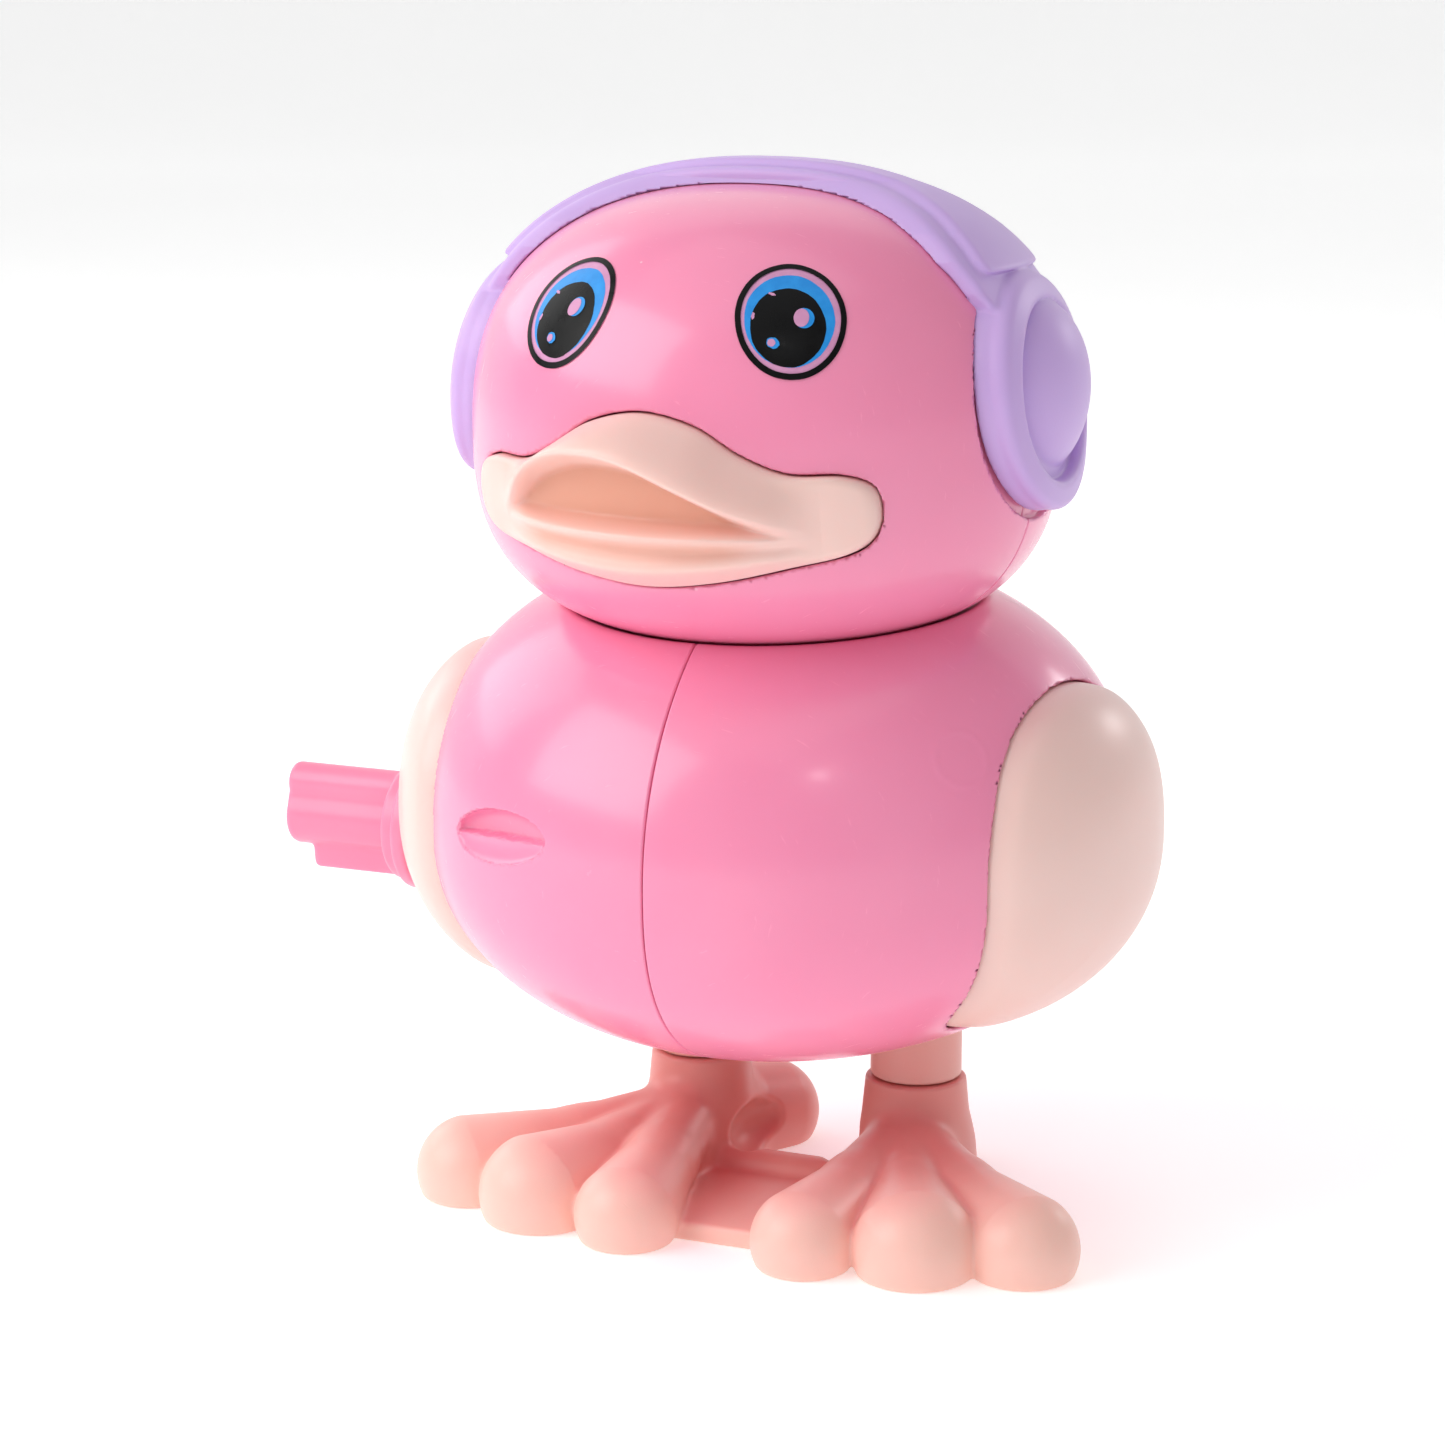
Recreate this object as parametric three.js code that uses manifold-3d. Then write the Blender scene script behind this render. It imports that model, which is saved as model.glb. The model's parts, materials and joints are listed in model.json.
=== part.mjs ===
// Wind-up hopping duck with headphones, in millimetres. +Z is up, -Y is the way the duck looks,
// +X is its left, and the origin lies under the middle of the plate that joins the two feet.
import * as THREE from 'three';
import { mergeVertices } from 'three/addons/utils/BufferGeometryUtils.js';
import Module from 'manifold-3d';

const wasm = await Module();
wasm.setup();

// Driving dimensions
const GAP = 0.3;                 // play between two pieces that meet
const SHELL_WALL = 2.0;
const BODY = { radius: 28.2, bottom: 15.2, top: 56.6, widest: 34.1, lowerPower: 2.4, upperPower: 2.05 };
const BODY_SIDE = { ...BODY, radius: 29.7, lowerPower: 2.2, upperPower: 2.35 };
const HEAD = { radius: 23.8, bottom: 50.2, top: 86.8, widest: 67.3, lowerPower: 2.72, upperPower: 2.4 };
const HEAD_Y = -3;               // the head's upright axis
const HEAD_SPLIT_Y = -5.2;       // plane between the front and rear head shells
const NECK = { bore: 3.4, tube: 5.4, flange: 8.6, low: 45.5, lowTop: 47, high: 52.7, highTop: 54.1 };
const LEG = { x: 10, y: 6.6, radius: 3.9, collar: 4.4, collarTop: 10.6, top: 18.2 };
const ARM = { inner: 7.5, outer: 9.5, halfWidth: 3.4 };
const CASE = { half: 5.7, wall: 1.0 };
const ARBOR = { y: 0, z: 29.9, radius: 1.6 };
const KEY = {
  tip: -46, flangeOuter: -34.1, flangeInner: -32.7, flangeRadius: 5.7,
  barHeight: 9.2, barWidth: 3.6, core: 2.7, tilt: 7,
};
const PIVOT = { y: 8.6, z: 22.2, radius: 1.25 };
const GEAR_MODULE = 0.5;
const TEETH = {
  great: 36, crank: 9, governor: 9, governorWheel: 27, escape: 9, escapeWheel: 11, ratchet: 12,
};
const meshDistance = (teeth, otherTeeth) => (GEAR_MODULE * (teeth + otherTeeth)) / 2;

// The place at a distance from another in the YZ plane; degrees count from +Y towards +Z.
function stepFrom(place, distance, degrees) {
  const angle = THREE.MathUtils.degToRad(degrees);
  return { y: place.y + distance * Math.cos(angle), z: place.z + distance * Math.sin(angle) };
}

const CRANK = {
  ...stepFrom(ARBOR, meshDistance(TEETH.great, TEETH.crank), 36.9),
  throw: 2.3, pin: 1.0, disc: 3.9, shaft: 1.2,
};
const GOVERNOR = stepFrom(ARBOR, meshDistance(TEETH.great, TEETH.governor), 155);
const ESCAPE = { ...stepFrom(GOVERNOR, meshDistance(TEETH.governorWheel, TEETH.escape), -120), radius: 3.2 };
const PALLET = { ...stepFrom(ESCAPE, 5.6, -18), reach: 3.9, tip: 3.4 };

const COLOURS = {
  pinkShell: { color: 0xf08bb4, roughness: 0.25, metalness: 0 },
  cream: { color: 0xf6d8c6, roughness: 0.35, metalness: 0 },
  purple: { color: 0xbd9fe0, roughness: 0.4, metalness: 0 },
  peach: { color: 0xf3b6a6, roughness: 0.4, metalness: 0 },
  keyPink: { color: 0xff8fba, roughness: 0.3, metalness: 0 },
  casePlastic: { color: 0xe9e6df, roughness: 0.45, metalness: 0 },
  gearPlastic: { color: 0xf4efe2, roughness: 0.5, metalness: 0 },
  steel: { color: 0xb9bcc0, roughness: 0.3, metalness: 1 },
};

// ---------- solids ----------
function signedVolume(position, index) {
  const a = new THREE.Vector3();
  const b = new THREE.Vector3();
  const c = new THREE.Vector3();
  let volume = 0;
  for (let i = 0; i < index.length; i += 3) {
    a.fromBufferAttribute(position, index[i]);
    b.fromBufferAttribute(position, index[i + 1]);
    c.fromBufferAttribute(position, index[i + 2]);
    volume += a.dot(b.cross(c));
  }
  return volume;
}

// A closed three.js geometry as a solid: vertices merged, flat triangles dropped, faces turned outwards.
function solid(geometry) {
  geometry.deleteAttribute('normal');
  geometry.deleteAttribute('uv');
  const merged = mergeVertices(geometry, 1e-5);
  const source = merged.index.array;
  const corners = [];
  for (let i = 0; i < source.length; i += 3) {
    const [a, b, c] = [source[i], source[i + 1], source[i + 2]];
    if (a !== b && b !== c && c !== a) corners.push(a, b, c);
  }
  if (signedVolume(merged.attributes.position, corners) < 0) corners.reverse();
  return new wasm.Manifold(new wasm.Mesh({
    numProp: 3,
    vertProperties: Float32Array.from(merged.attributes.position.array),
    triVerts: Uint32Array.from(corners),
  }));
}

const join = (...parts) => parts.reduce((whole, part) => whole.add(part));
const cut = (whole, ...parts) => parts.reduce((rest, part) => rest.subtract(part), whole);
const mirrored = (part) => part.mirror([1, 0, 0]);
const placed = (geometry, matrix) => solid(geometry.applyMatrix4(matrix));
const vector = (x, y, z) => new THREE.Vector3(x, y, z);

function box(low, high) {
  const size = high.map((v, i) => v - low[i]);
  const middle = high.map((v, i) => (v + low[i]) / 2);
  return placed(new THREE.BoxGeometry(...size), new THREE.Matrix4().makeTranslation(...middle));
}

// Turned about an upright axis through (x, y); outline points are [radius, height], bottom to top.
function turned(outline, segments, x = 0, y = 0) {
  const points = outline.map(([r, z]) => new THREE.Vector2(Math.max(r, 0), z));
  const upright = new THREE.Matrix4().makeRotationX(Math.PI / 2).setPosition(x, y, 0);
  return placed(new THREE.LatheGeometry(points, segments), upright);
}

// Turned about an axis along X through (y, z); outline points are [radius, x].
function turnedX(outline, segments, y, z) {
  const points = outline.map(([r, x]) => new THREE.Vector2(Math.max(r, 0), x));
  const sideways = new THREE.Matrix4().makeRotationZ(-Math.PI / 2).setPosition(0, y, z);
  return placed(new THREE.LatheGeometry(points, segments), sideways);
}

const rodOutline = (radius, from, to) => [[0, from], [radius, from], [radius, to], [0, to]];
const rodX = (radius, from, to, y, z, sides = 16) => turnedX(rodOutline(radius, from, to), sides, y, z);
const rodZ = (radius, from, to, x, y, sides = 16) => turned(rodOutline(radius, from, to), sides, x, y);

function rodY(radius, from, to, x, z, segments = 16) {
  const geometry = new THREE.CylinderGeometry(radius, radius, to - from, segments);
  return placed(geometry, new THREE.Matrix4().makeTranslation(x, (from + to) / 2, z));
}

// An outline drawn in (y, z), drawn out along X.
function slabX(shape, from, to, curveSegments = 6) {
  const depth = to - from;
  const geometry = new THREE.ExtrudeGeometry(shape, { depth, bevelEnabled: false, curveSegments });
  const turn = new THREE.Matrix4().makeBasis(vector(0, 1, 0), vector(0, 0, 1), vector(1, 0, 0));
  return placed(geometry, turn.setPosition(from, 0, 0));
}

// An outline drawn in (x, z), drawn out along Y.
function slabY(shape, from, to, curveSegments = 6) {
  const depth = to - from;
  const geometry = new THREE.ExtrudeGeometry(shape, { depth, bevelEnabled: false, curveSegments });
  const turn = new THREE.Matrix4().makeBasis(vector(1, 0, 0), vector(0, 0, 1), vector(0, -1, 0));
  return placed(geometry, turn.setPosition(0, to, 0));
}

// A round-ended rod that tapers between two points.
function taperedRod(start, startRadius, end, endRadius, segments = 12, steps = 3) {
  const axis = vector(...end).sub(vector(...start));
  const length = axis.length();
  const outline = [];
  for (let i = 0; i <= steps; i++) {
    const angle = -Math.PI / 2 + (i / steps) * (Math.PI / 2);
    outline.push([startRadius * Math.cos(angle), startRadius * Math.sin(angle)]);
  }
  for (let i = 0; i <= steps; i++) {
    const angle = (i / steps) * (Math.PI / 2);
    outline.push([endRadius * Math.cos(angle), length + endRadius * Math.sin(angle)]);
  }
  outline[0][0] = 0;
  outline[outline.length - 1][0] = 0;
  const turn = new THREE.Quaternion().setFromUnitVectors(vector(0, 1, 0), axis.normalize());
  const points = outline.map(([r, z]) => new THREE.Vector2(r, z));
  const matrix = new THREE.Matrix4().compose(vector(...start), turn, vector(1, 1, 1));
  return placed(new THREE.LatheGeometry(points, segments), matrix);
}

// Half-outline of a rounded hull turned about an upright axis, made larger all round by grow.
function hullOutline(hull, grow, steps) {
  const outline = [];
  for (let i = 0; i <= 2 * steps; i++) {
    const angle = -Math.PI / 2 + (i / (2 * steps)) * Math.PI;
    const lower = angle < 0;
    const power = 2 / (lower ? hull.lowerPower : hull.upperPower);
    const height = (lower ? hull.widest - hull.bottom : hull.top - hull.widest) + grow;
    const radius = (hull.radius + grow) * Math.abs(Math.cos(angle)) ** power;
    const rise = height * Math.abs(Math.sin(angle)) ** power;
    outline.push([radius, hull.widest + (lower ? -rise : rise)]);
  }
  outline[0][0] = 0;
  outline[2 * steps][0] = 0;
  return outline;
}

// The skins that face each other share FINE, so that their facets run side by side.
const FINE = [30, 6];
const COARSE = [16, 4];

function headHull(grow, [segments, steps] = FINE) {
  return turned(hullOutline(HEAD, grow, steps), segments, 0, HEAD_Y);
}

function hullRadius(hull, grow, z) {
  const lower = z < hull.widest;
  const power = lower ? hull.lowerPower : hull.upperPower;
  const height = (lower ? hull.widest - hull.bottom : hull.top - hull.widest) + grow;
  const rise = Math.min(Math.abs(z - hull.widest) / height, 1);
  return (hull.radius + grow) * (1 - rise ** power) ** (1 / power);
}

// The body is broader at its shoulders than it is deep: a turned hull, drawn out sideways at each height.
function bodyHull(grow, [segments, steps] = FINE) {
  const outline = hullOutline(BODY, grow, steps).map(([r, z]) => new THREE.Vector2(r, z));
  const geometry = new THREE.LatheGeometry(outline, segments);
  const position = geometry.attributes.position;
  for (let i = 0; i < position.count; i++) {
    const z = position.getY(i);
    const depth = hullRadius(BODY, grow, z);
    if (depth > 0.01) position.setX(i, (position.getX(i) * hullRadius(BODY_SIDE, grow, z)) / depth);
  }
  return placed(geometry, new THREE.Matrix4().makeRotationX(Math.PI / 2));
}

function smoothShape(points, divisions) {
  const curve = new THREE.CatmullRomCurve3(points.map(([u, v]) => vector(u, v, 0)), true, 'centripetal');
  return new THREE.Shape(curve.getPoints(divisions).slice(0, -1).map((p) => new THREE.Vector2(p.x, p.y)));
}

function ellipsoid(centre, radii, widthSegments = 20, heightSegments = 10) {
  const matrix = new THREE.Matrix4().makeScale(...radii).setPosition(...centre);
  return placed(new THREE.SphereGeometry(1, widthSegments, heightSegments), matrix);
}

// ---------- gears ----------
const toothPitch = (teeth) => (2 * Math.PI) / teeth;

// Phase that puts a pinion in mesh with a wheel, where angle points from the wheel to the pinion.
function meshedPhase(wheelTeeth, wheelPhase, pinionTeeth, angle) {
  return angle + Math.PI + (Math.PI - wheelTeeth * (wheelPhase - angle)) / pinionTeeth;
}

function toothedShape(teeth, phase, y, z) {
  const pitchRadius = (GEAR_MODULE * teeth) / 2;
  const rootRadius = pitchRadius - 1.2 * GEAR_MODULE;
  const tipRadius = pitchRadius + 0.85 * GEAR_MODULE;
  const halfTooth = 0.4 * GEAR_MODULE * (Math.PI / 2);
  const root = [rootRadius, Math.min(halfTooth + 0.2 * GEAR_MODULE, 0.38 * toothPitch(teeth) * rootRadius)];
  const tip = [tipRadius, halfTooth - 0.32 * GEAR_MODULE];
  const flank = teeth < 20 ? [root, [pitchRadius, halfTooth], tip] : [root, tip];
  const points = [];
  for (let i = 0; i < teeth; i++) {
    const middle = phase + i * toothPitch(teeth);
    const rising = flank.map(([r, half]) => [r, middle - half / r]);
    const falling = flank.map(([r, half]) => [r, middle + half / r]).reverse();
    for (const [r, angle] of [...rising, ...falling]) {
      points.push(new THREE.Vector2(y + r * Math.cos(angle), z + r * Math.sin(angle)));
    }
  }
  return new THREE.Shape(points);
}

// A wheel with slanted teeth, as ratchets and escape wheels have.
function slantedShape(teeth, tipRadius, depth, y, z, phase = 0) {
  const points = [];
  const rootRadius = tipRadius - depth;
  for (let i = 0; i < teeth; i++) {
    const start = phase + i * toothPitch(teeth);
    for (const [r, share] of [[tipRadius, 0], [tipRadius, 0.12], [rootRadius, 0.3], [rootRadius, 0.75]]) {
      const angle = start + share * toothPitch(teeth);
      points.push(new THREE.Vector2(y + r * Math.cos(angle), z + r * Math.sin(angle)));
    }
  }
  return new THREE.Shape(points);
}

const lineAngle = (from, to) => Math.atan2(to.z - from.z, to.y - from.y);
const GREAT_PHASE = 0;
const CRANK_PHASE = meshedPhase(TEETH.great, GREAT_PHASE, TEETH.crank, lineAngle(ARBOR, CRANK));
const GOVERNOR_PHASE = meshedPhase(TEETH.great, GREAT_PHASE, TEETH.governor, lineAngle(ARBOR, GOVERNOR));
const ESCAPE_PHASE = meshedPhase(TEETH.governorWheel, 0, TEETH.escape, lineAngle(GOVERNOR, ESCAPE));

// ---------- body shells and wings ----------
const WING_OUTLINE = [
  [-15.5, 38.6], [-13.2, 43], [-9, 46.1], [-3, 47.5], [3.4, 46.5], [8.1, 43], [10.1, 37.4],
  [9.6, 31.1], [6.4, 25.2], [1, 21.4], [-5.5, 20.2], [-12.2, 21.5], [-15.2, 27.1], [-16.2, 33.6],
];
const WING_DOME = { centre: [13.6, -3.1, 35.6], radii: [18.8, 20.2, 17.1] };
const BOSS_PLACES = [[19, 44.1], [19, 28.1]];          // screwed, at the back
const PEG_PLACES = [[-23.4, 34.6], [-16.5, 46.2]];         // plain pegs, at the front
const BOSS = { radius: 3.6, pegRadius: 2.0, hole: 1.25, screwHead: 2.1, headSeat: -13.5 };

// The wing's outline, made larger all round by grow, drawn out along X.
function wingPrism(grow) {
  const middle = [-3, 34.6];
  const points = WING_OUTLINE.map(([y, z]) => {
    const length = Math.hypot(y - middle[0], z - middle[1]);
    const scale = (length + grow) / length;
    return [middle[0] + (y - middle[0]) * scale, middle[1] + (z - middle[1]) * scale];
  });
  return slabX(smoothShape(points, 22), 15, 45);
}

const keyHole = (radius) => rodX(radius, -40, -10, ARBOR.y, ARBOR.z, 16);

function wing() {
  const dome = ellipsoid(WING_DOME.centre, WING_DOME.radii);
  return cut(wingPrism(0).intersect(dome), bodyHull(-0.6));
}

function legOpening() {
  const half = { x: LEG.radius + 0.6, y: LEG.radius + 1.6 };
  const shape = new THREE.Shape().absellipse(0, 0, half.x, half.y, 0, 2 * Math.PI, false, 0);
  const geometry = new THREE.ExtrudeGeometry(shape, { depth: 8, bevelEnabled: false, curveSegments: 14 });
  return placed(geometry, new THREE.Matrix4().makeTranslation(LEG.x, LEG.y, 12.6));
}

function almondNotch() {
  const lens = ellipsoid([-14.6, -24.6, 36], [5.6, 2.8, 2.4], 14, 8);
  return lens.intersect(box([-22, -32, 31.6], [-8, -18, 36.7]));
}

function bodyShells() {
  const outer = cut(bodyHull(0), headHull(GAP));
  const inner = cut(bodyHull(-SHELL_WALL, COARSE), headHull(GAP + SHELL_WALL, COARSE));
  const recess = cut(wingPrism(GAP), bodyHull(-0.9));
  const tail = taperedRod([0, 22.6, 40.6], 6.6, [0, 31.2, 44.8], 2.1, 16);
  const skin = cut(
    join(outer, tail), inner, rodZ(NECK.tube + GAP, 42.6, 54.6, 0, HEAD_Y, 20),
    legOpening(), mirrored(legOpening()), recess, mirrored(recess),
  );
  const leftHalf = box([GAP / 2, -40, 0], [40, 40, 70]);
  const rightHalf = mirrored(leftHalf);
  const bosses = (from, to) => join(
    ...BOSS_PLACES.map(([y, z]) => rodX(BOSS.radius, from, to, y, z, 12)),
    ...PEG_PLACES.map(([y, z]) => rodX(BOSS.pegRadius, from, to, y, z, 10)),
  ).intersect(bodyHull(-1, COARSE));
  const leftBosses = bosses(GAP / 2, 27);
  const rightBosses = bosses(-27, -GAP / 2);
  const screwHoles = BOSS_PLACES.map(([y, z]) => rodX(BOSS.hole, -26, 7, y, z, 12));
  const headHoles = BOSS_PLACES.map(([y, z]) => rodX(BOSS.screwHead + GAP, -30, BOSS.headSeat, y, z, 16));
  const pegHoles = PEG_PLACES.map(([y, z]) => rodX(1.2, -1, 3.2, y, z, 8));
  const pegs = PEG_PLACES.map(([y, z]) => rodX(0.9, -1, 2.8, y, z, 8));
  const left = cut(join(skin.intersect(leftHalf), leftBosses), ...screwHoles, ...pegHoles);
  const right = cut(
    join(skin.intersect(rightHalf), rightBosses, ...pegs), ...screwHoles, ...headHoles,
    keyHole(ARBOR.radius + 0.8), almondNotch(),
  );
  return { left, right };
}

// A small screw along an axis: outline points are [radius, distance], head first.
const screwOutline = (length, radius, head, headHeight, socket) => [
  [0, socket], [0.7, socket], [0.7, 0], [head, 0], [head, headHeight], [radius, headHeight + 0.01],
  [radius, length - 0.8], [0, length],
];

function screwX(x, y, z, length, radius, head) {
  const outline = screwOutline(length, radius, head, 1.2, 0.7).map(([r, d]) => [r, x + d]);
  return turnedX(outline, 8, y, z);
}

function screwY(x, y, z, length, radius, head) {
  const outline = screwOutline(length, radius, head, 1.2, 0.7).map(([r, d]) => new THREE.Vector2(r, y - d));
  return placed(new THREE.LatheGeometry(outline, 8), new THREE.Matrix4().makeTranslation(x, 0, z));
}

// ---------- head, bill and headphones ----------
const BEAK_OUTLINE = [
  [0, 71], [4.3, 70.1], [7.7, 68], [11, 66.6], [14.8, 66.4], [17.2, 63.8], [15.4, 60.6],
  [11, 59.4], [5.5, 58.1], [0, 57.5],
];
const HEAD_SCREWS = { x: 13, z: 61.6, seat: 11, boss: 3.6 };
const CUP = { y: -2.9, z: 71.2, radiusY: 9.8, radiusZ: 9.4, out: 26.6, dome: 7.2 };
const BAND = { thickness: 1.8 };
// Half of the band's outline seen from the side, from its middle line: narrow on top, wide above the cups.
const BAND_HALF = [[3.3, 89.6], [3.4, 87.2], [4.9, 85.8], [6.7, 83.6], [7.6, 81.6], [7.6, 79.1], [6.8, 76.6]];

function beakPrism(grow) {
  const right = BEAK_OUTLINE.slice(1, -1).reverse().map(([x, z]) => [-x, z]);
  const points = [...BEAK_OUTLINE, ...right].map(([x, z]) => {
    const length = Math.hypot(x, z - 63.6);
    return [x * (1 + grow / length), 63.6 + (z - 63.6) * (1 + grow / length)];
  });
  return slabY(smoothShape(points, 40), -45, -12);
}

function beak() {
  const plump = join(
    ellipsoid([0, -20.5, 66], [17.5, 11.2, 5.8]),
    ellipsoid([0, -20.5, 60.4], [15.5, 9.4, 3.9]),
    headHull(0.7),
  );
  const mouth = ellipsoid([0, -31.0, 64.2], [11.5, 4.6, 2.4], 16, 8);
  return cut(plump.intersect(beakPrism(0)), headHull(-1.6, COARSE), mouth);
}

function headShells() {
  const neckHole = rodZ(NECK.tube + GAP, 48.6, 54.6, 0, HEAD_Y, 20);
  const skin = cut(headHull(0), headHull(-1.8, COARSE), neckHole);
  const frontHalf = box([-40, -40, 40], [40, HEAD_SPLIT_Y - GAP / 2, 100]);
  const rearHalf = box([-40, HEAD_SPLIT_Y + GAP / 2, 40], [40, 40, 100]);
  const inside = headHull(-0.9, COARSE);
  const sides = [-1, 1];
  const { x, z, seat, boss } = HEAD_SCREWS;
  const bosses = (from, to) => sides.map((s) => rodY(boss, from, to, s * x, z, 14).intersect(inside));
  const frontBosses = bosses(-24, HEAD_SPLIT_Y - GAP / 2);
  const rearBosses = bosses(HEAD_SPLIT_Y + GAP / 2, 20);
  const screwHoles = sides.map((s) => rodY(1.25, -13, 22, s * x, z, 12));
  const headHoles = sides.map((s) => rodY(2.4, seat, 26, s * x, z, 14));
  const front = cut(join(skin.intersect(frontHalf), ...frontBosses), ...screwHoles, beakPrism(GAP));
  const rear = cut(join(skin.intersect(rearHalf), ...rearBosses), ...screwHoles, ...headHoles);
  return { front, rear };
}

function headphones() {
  const edge = (side) => BAND_HALF.map(([half, z]) => new THREE.Vector2(CUP.y + side * half, z));
  const strip = slabX(new THREE.Shape([...edge(1), ...edge(-1).reverse()]), -40, 40);
  const band = headHull(BAND.thickness).intersect(strip);
  const cup = (side) => {
    const leftSide = box([15, -20, 55], [40, 20, 90]);
    const outerHalf = side > 0 ? leftSide : mirrored(leftSide);
    const padOutline = ellipsoid([side * 15, CUP.y, CUP.z], [40, CUP.radiusY, CUP.radiusZ]);
    const pad = padOutline.intersect(headHull(1.7));
    const dome = ellipsoid([side * 21.5, CUP.y + 0.6, CUP.z], [CUP.out - 21.5, CUP.dome, CUP.dome], 16, 8);
    return join(pad, dome).intersect(outerHalf);
  };
  return cut(join(band, cup(1), cup(-1)), headHull(GAP));
}

function neckSpool() {
  const { bore, tube, flange, low, lowTop, high, highTop } = NECK;
  return turned([
    [bore, low], [flange, low], [flange, lowTop], [tube, lowTop], [tube, high], [flange - 0.6, high],
    [flange - 0.6, highTop], [bore, highTop], [bore, low],
  ], 20, 0, HEAD_Y);
}

// ---------- feet and legs ----------
const TOES = [
  { x: 8.5, y: -15.4, radius: 4.2 },
  { x: 16.5, y: -12.6, radius: 5.2 },
  { x: 24.7, y: -9.3, radius: 4.5 },
];
const HEEL = { x: 7.2, y: 15.2, radius: 4.6 };
const BRIDGE = { front: -12.4, back: 2.6, halfWidth: 9, thickness: 1.6 };

function oneFoot() {
  const ankle = turned([
    [0, 0.5], [6.6, 0.5], [6.3, 3.2], [5.2, 5.8], [4.7, 8], [LEG.collar, LEG.collarTop], [0, LEG.collarTop],
  ], 16, LEG.x, LEG.y);
  const toes = TOES.map((toe) => taperedRod([LEG.x, LEG.y - 2, 5], 3.9, [toe.x, toe.y, 2.2], toe.radius));
  const heel = taperedRod([LEG.x, LEG.y, 4.4], 4.4, [HEEL.x, HEEL.y, 2.4], HEEL.radius);
  const socket = rodZ(2.6, 6, 20, LEG.x, LEG.y, 14);
  return cut(join(ankle, ...toes, heel), socket);
}

function feet() {
  const { front, back, halfWidth, thickness } = BRIDGE;
  const plate = box([-halfWidth, front, 0], [halfWidth, back, thickness]);
  const ground = box([-50, -40, -20], [50, 40, 0]);
  return cut(join(oneFoot(), mirrored(oneFoot()), plate), ground);
}

function armShape() {
  const shape = new THREE.Shape();
  const w = ARM.halfWidth;
  const top = CRANK.z + CRANK.throw + CRANK.pin + 2.4;
  shape.moveTo(LEG.y - LEG.radius + 0.9, LEG.top - 2);
  shape.lineTo(LEG.y - LEG.radius + 0.9, LEG.top);
  shape.lineTo(CRANK.y - w, PIVOT.z + 2);
  shape.lineTo(CRANK.y - w, top - w);
  shape.absarc(CRANK.y, top - w, w, Math.PI, 0, true);
  shape.lineTo(CRANK.y + w, PIVOT.z + 2.5);
  shape.lineTo(PIVOT.y + 3, PIVOT.z - 0.8);
  shape.lineTo(LEG.y + LEG.radius - 0.8, LEG.top);
  shape.lineTo(LEG.y + LEG.radius - 0.8, LEG.top - 2);
  return shape;
}

// The slot that the crank pin slides in, along the line from the pivot to the crank.
function pinSlot() {
  const half = CRANK.pin + 0.55;
  const travel = CRANK.throw;
  const shape = new THREE.Shape();
  shape.absarc(CRANK.y, CRANK.z + travel, half, 0, Math.PI, false);
  shape.absarc(CRANK.y, CRANK.z - travel, half, Math.PI, 2 * Math.PI, false);
  return slabX(shape, ARM.inner - 1, ARM.outer + 1, 10);
}

function leg() {
  const post = rodZ(LEG.radius, LEG.collarTop + GAP, LEG.top, LEG.x, LEG.y, 18);
  const spigot = rodZ(2.3, 6.5, LEG.collarTop + 1, LEG.x, LEG.y, 14);
  const arm = slabX(armShape(), ARM.inner, ARM.outer, 8);
  const eye = rodX(PIVOT.radius + GAP, ARM.inner - 1, ARM.outer + 1, PIVOT.y, PIVOT.z, 14);
  return cut(join(post, spigot, arm), eye, pinSlot());
}

// ---------- clockwork ----------
const CASE_OUTLINE = [
  [-10.6, 18.9], [6, 18.9], [11.8, 20.6], [13, 25.6], [13, 40.6], [11, 43.8],
  [-17.6, 43.8], [-19.6, 42.2], [-19.6, 23.8],
];

function casePrism(shrink, from, to) {
  const middle = [-2.5, 31.1];
  const corners = CASE_OUTLINE.map(([y, z]) => {
    const length = Math.hypot(y - middle[0], z - middle[1]);
    const scale = (length - shrink) / length;
    return new THREE.Vector2(middle[0] + (y - middle[0]) * scale, middle[1] + (z - middle[1]) * scale);
  });
  return slabX(new THREE.Shape(corners), from, to);
}

const CASE_SCREWS = [[-17.4, 41.6], [11.2, 30], [5.6, 20.5]];

function motorCase(side) {
  const half = CASE.half;
  const tray = cut(casePrism(0, GAP / 2, half), casePrism(CASE.wall + 0.3, 0, half - CASE.wall));
  const bearings = [
    rodX(ARBOR.radius + GAP, 0, 9, ARBOR.y, ARBOR.z, 12),
    rodX(PIVOT.radius + GAP, 0, 9, PIVOT.y, PIVOT.z, 12),
    rodX(CRANK.shaft + GAP, 0, 9, CRANK.y, CRANK.z, 12),
    ...[GOVERNOR, ESCAPE, PALLET].map(({ y, z }) => rodX(0.7 + GAP, 0, 9, y, z, 8)),
  ];
  const posts = CASE_SCREWS.map(([y, z]) => rodX(1.3, GAP / 2, half - 0.2, y, z, 8));
  const screwHoles = CASE_SCREWS.map(([y, z]) => rodX(0.9, -1, half + 1, y, z, 8));
  const body = cut(join(tray, ...posts), ...bearings, ...screwHoles);
  return side > 0 ? body : mirrored(body);
}

function mainspring() {
  const turns = 5;
  const perTurn = 12;
  const [inner, outer, thickness] = [2.4, 8.2, 0.32];
  const steps = turns * perTurn;
  const edge = (shift) => Array.from({ length: steps + 1 }, (_, i) => {
    const angle = (i / perTurn) * 2 * Math.PI;
    const radius = inner + ((outer - inner) * i) / steps + shift;
    return new THREE.Vector2(ARBOR.y + radius * Math.cos(angle), ARBOR.z + radius * Math.sin(angle));
  });
  return slabX(new THREE.Shape([...edge(0), ...edge(thickness).reverse()]), -4.3, -0.6);
}

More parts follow.
